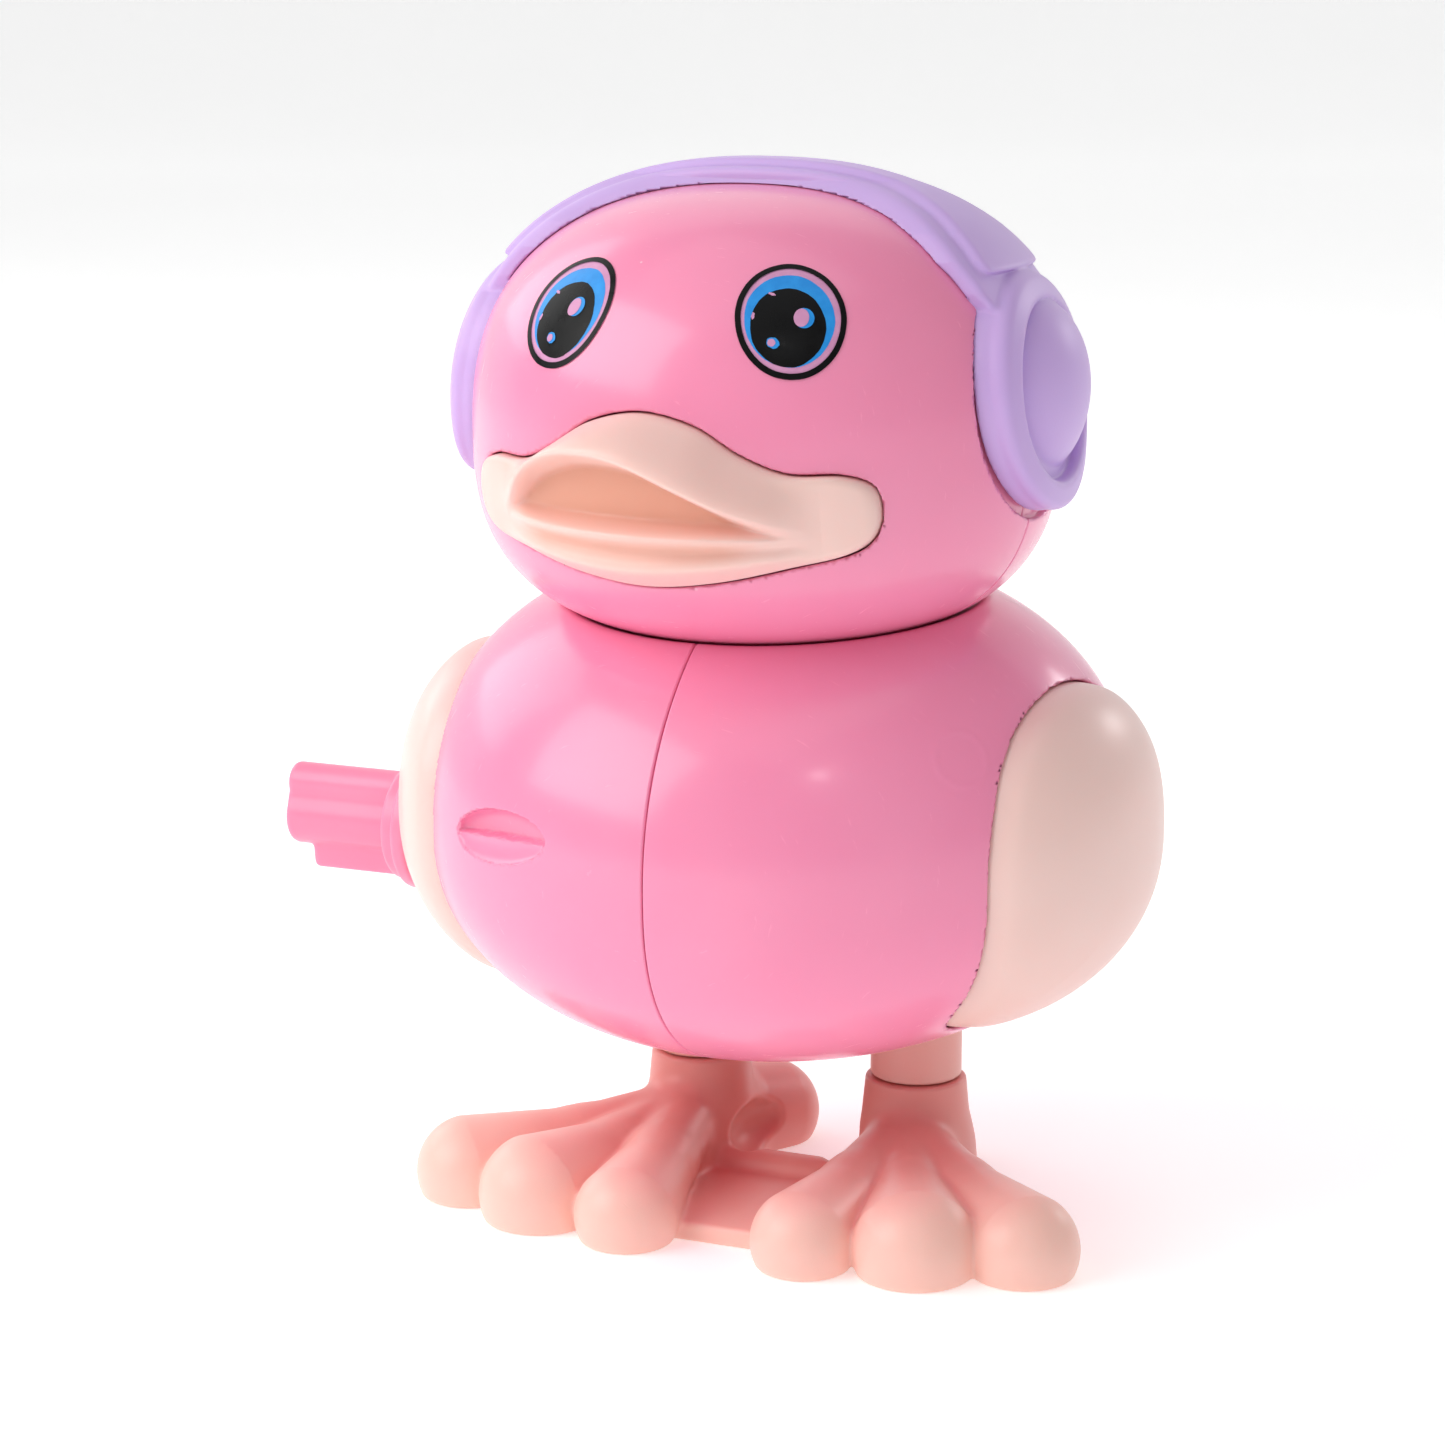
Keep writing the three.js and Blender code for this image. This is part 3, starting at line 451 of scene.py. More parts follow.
def body_field(x, y, z):
    skin = body_hull(x, y, z)
    dent = notch_depth(x, y, z)
    outer = join(skin - ring_mark(x, y, z) + dent, tail(x, y, z), radius=3.0)
    outer = cut(outer, head_hull(x, y, z, NECK_GAP), radius=0.4)
    inner = body_hull(x, y, z, -BODY_WALL) + dent
    hollow = both(inner, -head_hull(x, y, z, GAP + BODY_WALL), radius=0.8)
    shell = cut(outer, hollow, rod(x, y, NECK_HOLE, (0, HEAD_Y)))
    bosses = rods(y, z, BOSS, BODY_BOSSES)
    shell = join(shell, both(bosses, skin + 1.0, -x - 24), radius=0.5)
    screw_holes = both(rods(y, z, SCREW_HOLE, BODY_BOSSES), between(x, -26, 7))
    head_holes = both(rods(y, z, SCREW_HEAD_HOLE, BODY_BOSSES), x + 13.5)
    leg_holes = both((np.hypot((np.abs(x) - LEG_X) / 4.5, (y - LEG_Y) / 5.5) - 1) * 4.9, z - 23.6)
    recess = both(wing_outline(y, z) - INSET_GAP, 15 - np.abs(x), -skin - 0.9)
    key_hole = both(rod(y, z, ARBOR_HOLE, (0, ARBOR_Z)), x + 15)
    return cut(shell, screw_holes, head_holes, leg_holes, recess, key_hole, radius=0.28)


def wing_field(x, y, z):
    """The left wing: a cream pillow let into its recess in the body."""
    edge = wing_outline(y, z)
    inward = np.clip(1 + edge / WING_ROUND, 0, 1)
    rise = WING_RISE * (1 - inward ** 2.5 * 0.985) ** 0.4
    pillow = (body_hull(x, y, z) - rise) * (1 - 0.35 * inward ** 6)
    return cut(both(pillow, edge, 15 - x, radius=0.5), body_hull(x, y, z, -0.75), radius=0.2)


def right_wing_field(x, y, z):
    return cut(wing_field(-x, y, z), rod(y, z, ARBOR_HOLE, (0, ARBOR_Z)), radius=0.3)


# ---------- head, bill and headphones ----------
HEAD_BOSSES = [(-13, 61.6), (13, 61.6)]


def face_turned(x, y):
    """Place measured from the face's own middle line."""
    c, s = math.cos(FACE_TURN), math.sin(FACE_TURN)
    return c * x - s * (y - HEAD_Y), s * x + c * (y - HEAD_Y) + HEAD_Y


MOUTH_ROOF = [
    (-12.6, 61.9), (-10.8, 63.8), (-8.2, 66.0), (-5.2, 67.1), (-2, 67.2),
    (1, 66.6), (4.5, 65.0), (8, 63.2), (10.8, 62.0), (12.6, 61.3),
]


bill_top, bill_bottom = smooth_table(mirrored(BEAK_TOP)), smooth_table(mirrored(BEAK_BOTTOM[::-1]))
mouth_roof = smooth_table(MOUTH_ROOF)
beak_outline = FlatOutline(mirrored(BEAK_TOP) + BEAK_BOTTOM + [(-u, v) for u, v in BEAK_BOTTOM[-2::-1]])


def cup_place(y, z, drop=0.0):
    """0 at a cup's middle and 1 at its edge."""
    return np.hypot((y - CUP_Y) / CUP_DEEP, (z - CUP_Z + drop) / CUP_HIGH)


def head_field(x, y, z):
    skin = head_hull(x, y, z)
    shell = cut(skin, head_hull(x, y, z, -HEAD_WALL), both(rod(x, y, NECK_HOLE, (0, HEAD_Y)), z - 57.6))
    bosses = rods(x, z, BOSS, HEAD_BOSSES)
    shell = join(shell, both(bosses, skin + 1.0), radius=0.5)
    screw_holes = both(rods(x, z, SCREW_HOLE, HEAD_BOSSES), between(y, -13, 22))
    head_holes = both(rods(x, z, SCREW_HEAD_HOLE, HEAD_BOSSES), 11 - y)
    u, v = face_turned(x, y)
    beak_hole = both(beak_outline(u, z) - INSET_GAP, v + 12)
    cup_seat = both((cup_place(y, z, 0.45) - 1) * 9.6 - 0.3, -skin - 0.7, 15 - np.abs(x))
    return cut(shell, screw_holes, head_holes, beak_hole, cup_seat, radius=0.25)


def bill_reach(u, z):
    """How far the bill stands out from the head's skin, and how deep in its mouth a place lies: the weight of the
    painted shade in the mouth.
    """
    side = np.abs(u + 0.5)
    top, bottom = np.interp(u, *bill_top), np.interp(u, *bill_bottom)
    roof, floor = np.interp(u, *mouth_roof), 62.1 - 0.02 * u
    width = np.clip(1 - (side / 14.0) ** 2.4, 0, 1)
    brow = roof + 1.0
    climb = np.clip((top + 0.2 - z) / np.maximum(top - brow, 0.8), 0, 1)
    upper = 4.4 * width ** 0.8 * np.sin(0.5 * math.pi * climb) ** 1.3 * ease(z, roof - 0.7, brow + 0.2)
    drop = np.clip((z - bottom) / np.maximum(floor - bottom, 0.8), 0, 1)
    lip = 2.7 * width ** 0.8 * ease(drop, -0.1, 0.42) - 0.9 * width * np.exp(-((drop - 0.7) / 0.17) ** 2)
    lower = lip * (1 - ease(z, floor - 0.1, floor + 1.1))
    # inside and the gutter share weigh the painted shade: darker peach in the mouth's hollow and in the groove
    # under its lower ridge.
    inside = ease(z, floor - 0.2, floor + 1.4) * (1 - ease(z, roof - 0.7, roof + 0.1))
    inside = inside * ease(11.4 - side, 0, 2.0)
    painted_gutter_shade = np.exp(-((drop - 0.7) / 0.2) ** 2) * ease(11.0 - side, 0, 4.0) * (1 - ease(z, floor, floor + 0.6))
    return 0.4 + smooth_max(upper, lower, 0.9), np.maximum(inside, 0.6 * painted_gutter_shade)


def beak_field(x, y, z):
    u, v = face_turned(x, y)
    skin_y = HEAD_Y - np.sqrt(np.maximum(hull_radius(HEAD, z) ** 2 - np.minimum(np.abs(u), 20) ** 2, 1))
    reach, _ = bill_reach(u, z)
    front = (skin_y - reach - v) * 0.82
    pad = head_hull(x, y, z, 0.85)
    share = ease(np.abs(u), 10.0, 15.0)
    front = front * (1 - share) + pad * share
    return both(front, beak_outline(u, z), -head_hull(x, y, z, -1.4), v + 12, radius=0.6)


def headphones_field(x, y, z):
    """One moulding: a flat band with a raised middle over the head, and a rimmed, domed cup at each end."""
    over_head = head_hull(x, y, z)
    heights, halves = np.array(BAND_HALF).T
    edge = np.abs(y - CUP_Y) - np.interp(z, heights, halves)
    strip = both(over_head - 1.25, edge, 77.2 - z, radius=0.6)
    rib = both(over_head - 1.85, edge + 1.6, 80.6 - z, radius=0.6)
    e = cup_place(y, z)
    side = np.abs(x)
    pad = both((e - 1) * 9.6, over_head - 0.75, 14 - side, radius=0.6)
    rim = both(np.abs(e - 0.87) * 9.6 - 1.2, over_head - 2.0, 14 - side, radius=0.8)
    dome = both(ellipsoid(side, y, z, (21.9, CUP_Y + 0.4, CUP_Z), (4.75, 7.3, 7.3)), 14 - side)
    phones = join(join(strip, rib, radius=0.3), join(pad, rim, radius=0.3), radius=0.35)
    phones = join(phones, dome, radius=0.15)
    return cut(phones, head_hull(x, y, z, np.where(e < 1.1, -0.33, 0.05)), radius=0.2)


# ---------- feet, legs and key ----------
def one_foot(x, y, z):
    """Three ridged toes that spread from the ankle to broad blunt tips, webbed between, with a heel lobe."""
    side = np.abs(x)
    post = np.interp(z, [0, 4.2, 7.4, ANKLE_TOP + 1], [5.6, 5.0, 4.6, 4.2])
    ankle = both((np.hypot(side - LEG_X, y - LEG_Y) - post) * 0.97, z - ANKLE_TOP, radius=0.3)
    toes = []
    for tx, ty, r in TOES:
        knuckle = (LEG_X + 0.5 * (tx - LEG_X), LEG_Y - 2.5 + 0.5 * (ty - LEG_Y + 2.5), 3.6)
        ridge = tapered_rod(side, y, z, (LEG_X, LEG_Y - 2.5, 5.4), 2.9, knuckle, 3.1)
        tip = tapered_rod(side, y, z, knuckle, 3.1, (tx, ty, 2.2), r)
        toes.append(join(ridge, tip, radius=1.0))
    webs = [
        tapered_rod(side, y, z, (LEG_X, LEG_Y - 1, 2.2), 4.2, (tx, ty, -0.6), 3.6)
        for tx, ty in ((11.9, -9.0), (19.6, -6.4))
    ]
    heel = tapered_rod(side, y, z, (LEG_X, LEG_Y + 1, 4.0), 4.4, (HEEL[0], HEEL[1], 2.6), HEEL[2])
    return join(join(join(*toes, radius=0.6), *webs, radius=1.0), ankle, heel, radius=1.5)


def feet_field(x, y, z):
    plate = both(between(z, -2, 1.6), between(y, -12.4, 2.6), np.abs(x) - 9, radius=0.6)
    bar = both(np.hypot(y - 3.2, z - 1.4) - 1.7, np.abs(x) - 9)
    whole = join(one_foot(x, y, z), plate, bar, radius=0.7)
    socket = both(rod(np.abs(x), y, SOCKET, (LEG_X, LEG_Y)), 6 - z)
    flank = ellipsoid(np.abs(x), y, z, (4.4, 6.8, 3.9), (2.4, 4.2, 2.3))
    return both(cut(cut(whole, socket), flank, radius=0.6), -z, radius=0.35)


def leg_field(x, y, z):
    """The left leg: a round post on a spigot, with the flat arm that hangs on the pivot shaft."""
    post = both(rod(x, y, LEG_RADIUS, (LEG_X, LEG_Y)), between(z, ANKLE_TOP + 0.12, LEG_TOP), radius=0.35)
    spigot = both(rod(x, y, SPIGOT, (LEG_X, LEG_Y)), between(z, 6.5, ANKLE_TOP + 1))
    share = np.clip((z - LEG_TOP) / (CRANK[1] - LEG_TOP), 0, 1)
    middle = LEG_Y + (CRANK[0] - LEG_Y) * np.minimum(share * 3, 1)
    arm = both(np.abs(y - middle) - 3.2, between(z, LEG_TOP - 2, CRANK[1] + 5.6), between(x, 7.5, 9.5))
    eye = rod(y, z, SHAFT_HOLE, PIVOT)
    slot = np.hypot(y - CRANK[0], np.maximum(np.abs(z - CRANK[1]) - 2.3, 0)) - SHAFT_HOLE
    return cut(join(post, spigot, arm, radius=0.4), eye, slot, radius=0.2)


KEY_TIP, KEY_FLANGE = -46.0, -34.1


def key_field(x, y, z):
    """The winding key: a round hub between an upper and a shorter lower wing, and a stepped flange."""
    tilt = math.radians(7)
    u = math.cos(tilt) * y + math.sin(tilt) * (z - ARBOR_Z)
    v = -math.sin(tilt) * y + math.cos(tilt) * (z - ARBOR_Z)
    length = between(x, KEY_TIP, KEY_FLANGE + 0.5)
    hub = both(np.hypot(u, v + 0.1) - 2.65, length, radius=0.6)
    upper = both(np.hypot(u, np.maximum(v - 2.9, 0)) - 1.7, -v, length, radius=0.6)
    lower = both(np.abs(u) - 1.55, between(v, -4.6, 0), between(x, KEY_TIP + 1.9, KEY_FLANGE + 0.5), radius=0.6)
    flange = both(np.hypot(u, v) - 5.6, between(x, KEY_FLANGE, KEY_FLANGE + 1.4), radius=0.5)
    collar = both(np.hypot(u, v) - 4.9, between(x, KEY_FLANGE - 1.3, KEY_FLANGE + 0.5), radius=0.5)
    bore = both(np.hypot(u, v) - 1.75, -41 - x)
    wings = np.minimum(upper, lower)
    return cut(join(wings, hub, collar, flange, radius=0.35), bore, radius=0.2)


# ---------- finishes ----------
def linear(colour):
    """A colour written as it looks, 0 to 255, in the linear values that shaders take."""
    parts = [c / 255 for c in colour]
    return tuple(c / 12.92 if c <= 0.04045 else ((c + 0.055) / 1.055) ** 2.4 for c in parts) + (1.0,)


def new_group(name, inputs, outputs):
    group = bpy.data.node_groups.new(name, "ShaderNodeTree")
    for socket, kind, value in inputs:
        made = group.interface.new_socket(socket, in_out="INPUT", socket_type=kind)
        if value is not None:
            made.default_value = value
    for socket, kind in outputs:
        group.interface.new_socket(socket, in_out="OUTPUT", socket_type=kind)
    return group, group.nodes.new("NodeGroupInput"), group.nodes.new("NodeGroupOutput")


class Wiring:
    """Short forms for placing and linking nodes in one tree."""

    def __init__(self, tree):
        self.tree = tree

    def node(self, kind, settings=None, **links):
        made = self.tree.nodes.new(kind)
        for key, value in (settings or {}).items():
            setattr(made, key, value)
        for key, value in links.items():
            numbered = key[0] == "i" and key[1:].isdigit()
            self.feed(made.inputs[int(key[1:]) if numbered else key.replace("_", " ")], value)
        return made

    def feed(self, socket, value):
        if isinstance(value, bpy.types.NodeSocket):
            self.tree.links.new(value, socket)
        else:
            socket.default_value = value

    def math(self, operation, a, b=0.0, clamp=False):
        return self.node("ShaderNodeMath", {"operation": operation, "use_clamp": clamp}, i0=a, i1=b).outputs[0]

    def noise(self, vector, scale, detail=3.0, roughness=0.55):
        links = {"Vector": vector, "Scale": scale, "Detail": detail, "Roughness": roughness}
        return self.node("ShaderNodeTexNoise", **links).outputs["Fac"]

    def spread(self, value, low, high, out_low=0.0, out_high=1.0):
        made = self.node("ShaderNodeMapRange", {"clamp": True}, Value=value)
        for socket, v in zip(("From Min", "From Max", "To Min", "To Max"), (low, high, out_low, out_high)):
            self.feed(made.inputs[socket], v)
        return made.outputs[0]

    def mix(self, share, a, b):
        made = self.node("ShaderNodeMix", {"data_type": "RGBA"})
        for socket, v in zip((made.inputs[0], made.inputs[6], made.inputs[7]), (share, a, b)):
            self.feed(socket, v)
        return made.outputs[2]


def moulded_group():
    """Injection-moulded plastic: flow shading, fine texture left by the mould, hairline scratches."""
    group, given, result = new_group(
        "moulded plastic",
        [
            ("Roughness", "NodeSocketFloat", 0.3),
            ("Texture", "NodeSocketFloat", 1.0),
            ("Scratches", "NodeSocketFloat", 1.0),
        ],
        [(socket, "NodeSocketFloat") for socket in ("Flow", "Roughness", "Height")],
    )
    w = Wiring(group)
    place = w.node("ShaderNodeTexCoord").outputs["Object"]
    flow = w.spread(w.noise(place, 55.0, 2.0), 0.3, 0.7)
    grain = w.noise(place, 5200.0, 2.0)
    ripple = w.noise(place, 240.0, 3.0)
    turned = w.node("ShaderNodeMapping", {}, Vector=place)
    turned.inputs["Rotation"].default_value = (0.6, 0.35, 0.9)
    turned.inputs["Scale"].default_value = (1.0, 14.0, 1.0)
    streaks = w.noise(turned.outputs[0], 420.0, 4.0, 0.6)
    scratch = w.math("MULTIPLY", w.spread(streaks, 0.66, 0.72), given.outputs["Scratches"])
    rough = w.math("ADD", given.outputs["Roughness"], w.math("MULTIPLY", w.math("SUBTRACT", ripple, 0.5), 0.09))
    rough = w.math("ADD", rough, w.math("MULTIPLY", scratch, 0.07), clamp=True)
    fine = w.math("MULTIPLY", w.math("MULTIPLY", grain, given.outputs["Texture"]), 0.35)
    uneven = w.math("ADD", fine, w.math("MULTIPLY", ripple, 0.5))
    height = w.math("ADD", uneven, w.math("MULTIPLY", scratch, -0.5))
    for socket, value in zip(("Flow", "Roughness", "Height"), (flow, rough, height)):
        w.feed(result.inputs[socket], value)
    return group


def dust_group():
    """Small pale specks that settle mostly on what faces up."""
    group, given, result = new_group(
        "dust specks", [("Amount", "NodeSocketFloat", 1.0)], [("Mask", "NodeSocketFloat")]
    )
    w = Wiring(group)
    coordinates = w.node("ShaderNodeTexCoord")
    cells = w.node("ShaderNodeTexVoronoi", {}, Vector=coordinates.outputs["Object"], Scale=330.0)
    near = w.spread(cells.outputs["Distance"], 0.035, 0.055, 1.0, 0.0)
    chance = w.node("ShaderNodeSeparateColor", {}, Color=cells.outputs["Color"]).outputs[0]
    rare = w.math("GREATER_THAN", chance, 0.93)
    up = w.node("ShaderNodeSeparateXYZ", {}, Vector=coordinates.outputs["Normal"]).outputs[2]
    share = w.spread(up, -0.3, 0.9, 0.35, 1.0)
    share = w.math("MULTIPLY", share, given.outputs["Amount"])
    mask = w.math("MULTIPLY", w.math("MULTIPLY", near, rare), share)
    w.feed(result.inputs["Mask"], mask)
    return group


MOULDED = moulded_group()
DUST = dust_group()


def new_material(name):
    """A material with its wiring and its main shader."""
    material = bpy.data.materials.new(name)
    material.use_nodes = True
    return material, Wiring(material.node_tree), material.node_tree.nodes["Principled BSDF"]


def plastic(name, light, deep, roughness, texture=1.0, glow=0.0, coat=0.0, specular=0.5, relief=0.02, dust=0.5):
    """A moulded plastic: its lighter and deeper colours, its gloss, and how far light travels inside it."""
    material, w, surface = new_material(name)
    moulded = w.node("ShaderNodeGroup", {"node_tree": MOULDED}, Roughness=roughness, Texture=texture)
    specks = w.node("ShaderNodeGroup", {"node_tree": DUST}, Amount=dust)
    colour = w.mix(moulded.outputs["Flow"], linear(deep), linear(light))
    colour = w.mix(specks.outputs["Mask"], colour, linear((250, 240, 240)))
    bump = w.node("ShaderNodeBump", {}, Strength=0.35, Distance=relief * MM, Height=moulded.outputs["Height"])
    w.feed(surface.inputs["Base Color"], colour)
    w.feed(surface.inputs["Roughness"], moulded.outputs["Roughness"])
    w.feed(surface.inputs["Normal"], bump.outputs[0])
    surface.inputs["Subsurface Weight"].default_value = glow
    surface.inputs["Subsurface Radius"].default_value = (1.0, 0.45, 0.4)
    surface.inputs["Subsurface Scale"].default_value = 0.0025
    surface.inputs["Coat Weight"].default_value = coat
    surface.inputs["Coat Roughness"].default_value = 0.12
    surface.inputs["Specular IOR Level"].default_value = specular
    return material


def tinted(material, attribute, colour):
    """The same finish, shading into another colour where the piece's named attribute rises to 1."""
    w = Wiring(material.node_tree)
    base = material.node_tree.nodes["Principled BSDF"].inputs["Base Color"]
    plain = base.links[0].from_socket
    share = w.node("ShaderNodeAttribute", {"attribute_name": attribute}).outputs["Fac"]
    w.feed(base, w.mix(share, plain, linear(colour)))
    return material


def bill_plastic_with_painted_mouth_shade():
    """The cream plastic, with painted shade in the mouth: darker and warmer where the mouth's hollow lies in
    shade.
    """
    plain = plastic("cream bill plastic", (247, 209, 201), (243, 202, 193), 0.34, glow=0.25)
    # painted shade: (226, 162, 138) darkens the mouth's hollow, standing in for the shade inside it.
    return tinted(plain, "mouth", (226, 162, 138))


def foot_plastic_with_painted_light():
    """The peach plastic, with painted light: deeper at the ankles, under the body's shade, and paler out at the
    toes, where the light falls.
    """
    plain = plastic("peach foot plastic", (233, 158, 150), (229, 150, 142), 0.38, texture=1.2, glow=0.25)
    # painted light: (251, 203, 190) pales the toes as if lit, against the painted shade left at the ankles.
    return tinted(plain, "painted_toe_light", (251, 203, 190))


def steel(name, colour, roughness):
    """Drawn steel, with streaks along the length."""
    material, w, surface = new_material(name)
    place = w.node("ShaderNodeTexCoord").outputs["Object"]
    drawn = w.node("ShaderNodeMapping", {}, Vector=place)
    drawn.inputs["Scale"].default_value = (1.0, 12.0, 12.0)
    streaks = w.noise(drawn.outputs[0], 900.0, 4.0)
    w.feed(surface.inputs["Base Color"], w.mix(streaks, linear([c * 0.8 for c in colour]), linear(colour)))
    w.feed(surface.inputs["Roughness"], w.spread(streaks, 0.3, 0.7, roughness - 0.08, roughness + 0.08))
    bump = w.node("ShaderNodeBump", {}, Strength=0.3, Distance=0.02 * MM, Height=streaks)
    w.feed(surface.inputs["Normal"], bump.outputs[0])
    surface.inputs["Metallic"].default_value = 1.0
    return material


def ink(name, colour, deeper, roughness, sheen=0.3):
    """Pad-printed ink, a little uneven in tone."""
    material, w, surface = new_material(name)
    place = w.node("ShaderNodeTexCoord").outputs["Object"]
    uneven = w.spread(w.noise(place, 900.0, 4.0), 0.35, 0.65)
    w.feed(surface.inputs["Base Color"], w.mix(uneven, linear(deeper), linear(colour)))
    w.feed(surface.inputs["Roughness"], w.spread(uneven, 0.0, 1.0, roughness - 0.05, roughness + 0.07))
    surface.inputs["Specular IOR Level"].default_value = sheen
    bump = w.node("ShaderNodeBump", {}, Strength=0.25, Distance=0.01 * MM, Height=uneven)
    w.feed(surface.inputs["Normal"], bump.outputs[0])
    return material


PINK = plastic("pink shell plastic", (249, 148, 184), (247, 141, 179), 0.24, texture=0.4, glow=0.12, coat=0.25)
CREAM = plastic("cream wing plastic", (245, 211, 204), (242, 204, 196), 0.33, texture=0.8, glow=0.2)
BILL = bill_plastic_with_painted_mouth_shade()
PURPLE = plastic("lavender headphone plastic", (206, 175, 232), (199, 167, 226), 0.42, texture=2.0, glow=0.1)
PEACH = foot_plastic_with_painted_light()
LEG = plastic("peach leg plastic", (240, 184, 174), (236, 176, 166), 0.38, texture=1.2, glow=0.25)
KEY_PINK = plastic("pink key plastic", (252, 145, 178), (248, 136, 171), 0.3, texture=0.8, glow=0.15)
CASE = plastic("motor case plastic", (233, 230, 223), (224, 220, 210), 0.45, texture=1.6, dust=0.2)
GEAR = plastic("gear plastic", (244, 239, 226), (236, 230, 214), 0.4, texture=1.4, glow=0.1, dust=0.1)
STEEL = steel("plain steel", (190, 192, 196), 0.3)
SPRING_STEEL = steel("blued spring steel", (96, 104, 122), 0.28)
INK_BLACK = ink("black ink", (9, 9, 11), (5, 5, 6), 0.3, 0.16)
INK_BLUE = ink("blue ink", (40, 152, 232), (30, 140, 222), 0.34)
INK_LILAC = ink("lilac ink", (214, 152, 192), (206, 142, 184), 0.34)

# ---------- making the pieces ----------
body_surface = skin_of(body_field, (-30.4, -29.2, 14.5), (30.4, 34.1, 55.0), 0.3)
for side, label in ((1, "left"), (-1, "right")):
    half = seam_half(f"body_shell_{label}_skin", body_field, body_surface, (side * SEAM, 0, 0), (side, 0, 0))
    dressed(half, "body", "pink_shell", PINK, f"body_shell_{label}")

head_surface = skin_of(head_field, (-24.6, -27.6, 49.5), (24.6, 21.6, 87.6), 0.28)
for side, label in ((-1, "front"), (1, "rear")):
    place = (0, HEAD_SPLIT_Y + side * SEAM, 0)
    half = seam_half(f"head_shell_{label}_skin", head_field, head_surface, place, (0, side, 0))
    dressed(half, "head", "pink_shell", PINK, f"head_shell_{label}")

left_wing = field_piece("wing_left_dome", wing_field, (14.5, -17.2, 19.2), (34.0, 11.2, 48.6), 0.25)
dressed(left_wing, "body", "cream", CREAM, "wing_left")
right_wing = field_piece("wing_right_dome", right_wing_field, (-34.0, -17.2, 19.2), (-14.5, 11.2, 48.6), 0.25)
dressed(right_wing, "body", "cream", CREAM, "wing_right")

beak = field_piece("beak_bill", beak_field, (-18.4, -34.0, 56.4), (18.4, -11.0, 72.2), 0.16)
at = places_of(beak)
# The mouth attribute is the mask of the painted shade in the mouth's hollow.
shade(beak, "mouth", bill_reach(face_turned(at[:, 0], at[:, 1])[0], at[:, 2])[1])
dressed(beak, "head", "cream", BILL, "beak")

phones = field_piece("headphones_band", headphones_field, (-27.6, -14.0, 60.5), (27.6, 8.2, 89.6), 0.22)
dressed(phones, "head", "purple", PURPLE, "headphones")

feet = field_piece("feet_webbed", feet_field, (-30.8, -20.0, -0.9), (30.8, 21.2, 11.6), 0.24)
at = places_of(feet)
out_from_ankle = np.hypot(np.abs(at[:, 0]) - LEG_X, at[:, 1] - LEG_Y)
# The toe attribute weighs the painted light: 0 at the shaded ankles, 1 out at the lit toes.
shade(feet, "painted_toe_light", ease(out_from_ankle, 7.0, 22.0))
dressed(feet, "feet", "peach", PEACH, "feet")
left_leg = field_piece("leg_left_post", leg_field, (5.1, 1.7, 5.7), (14.9, 13.2, 43.3), 0.22)
dressed(left_leg, "feet", "peach", LEG, "leg_left")
right_leg = field_piece(
    "leg_right_post", lambda x, y, z: leg_field(-x, y, z), (-14.9, 1.7, 5.7), (-5.1, 13.2, 43.3), 0.22
)
dressed(right_leg, "feet", "peach", LEG, "leg_right")

key = field_piece("winding_key_bar", key_field, (-46.9, -6.6, 23.3), (-32.0, 6.6, 36.5), 0.15)
dressed(key, "key", "key_pink", KEY_PINK, "winding_key")


# ---------- printed eyes ----------
def disc(radii, centre=(0.0, 0.0), lean=0.0, count=72, wobble=0.0, phase=0.0):
    """A flat outline: an ellipse leaning by an angle, its edge a little uneven."""
    t = 2 * math.pi * np.arange(count) / count
    ripple = np.sin(5 * t + phase) + 0.7 * np.sin(9 * t + 2.1 * phase) + 0.5 * np.sin(23 * t + phase)
    uneven = 1 + wobble * ripple
    u, v = radii[0] * np.cos(t) * uneven, radii[1] * np.sin(t) * uneven
    c, s = math.cos(lean), math.sin(lean)
    return np.stack([centre[0] + c * u + s * v, centre[1] - s * u + c * v], 1)


def filled(outline, rings=6):
    """Points and faces that fill an outline with rings about its middle."""
    middle = outline.mean(0)
    count = len(outline)
    points = [middle] + [middle + (p - middle) * (k / rings) for k in range(1, rings + 1) for p in outline]
    faces = [(0, 1 + i, 1 + (i + 1) % count) for i in range(count)]
    for k in range(rings - 1):
        a, b = 1 + k * count, 1 + (k + 1) * count
        faces += [(a + i, b + i, b + (i + 1) % count, a + (i + 1) % count) for i in range(count)]
    return np.array(points), faces


def hooped(outer, inner):
    """Points and faces of the ring between two outlines with as many points each."""
    count = len(outer)
    faces = [(i, (i + 1) % count, count + (i + 1) % count, count + i) for i in range(count)]
    return np.concatenate([inner, outer]), [f[::-1] for f in faces]


FILM = 0.012       # how far each layer of ink lies over the one below


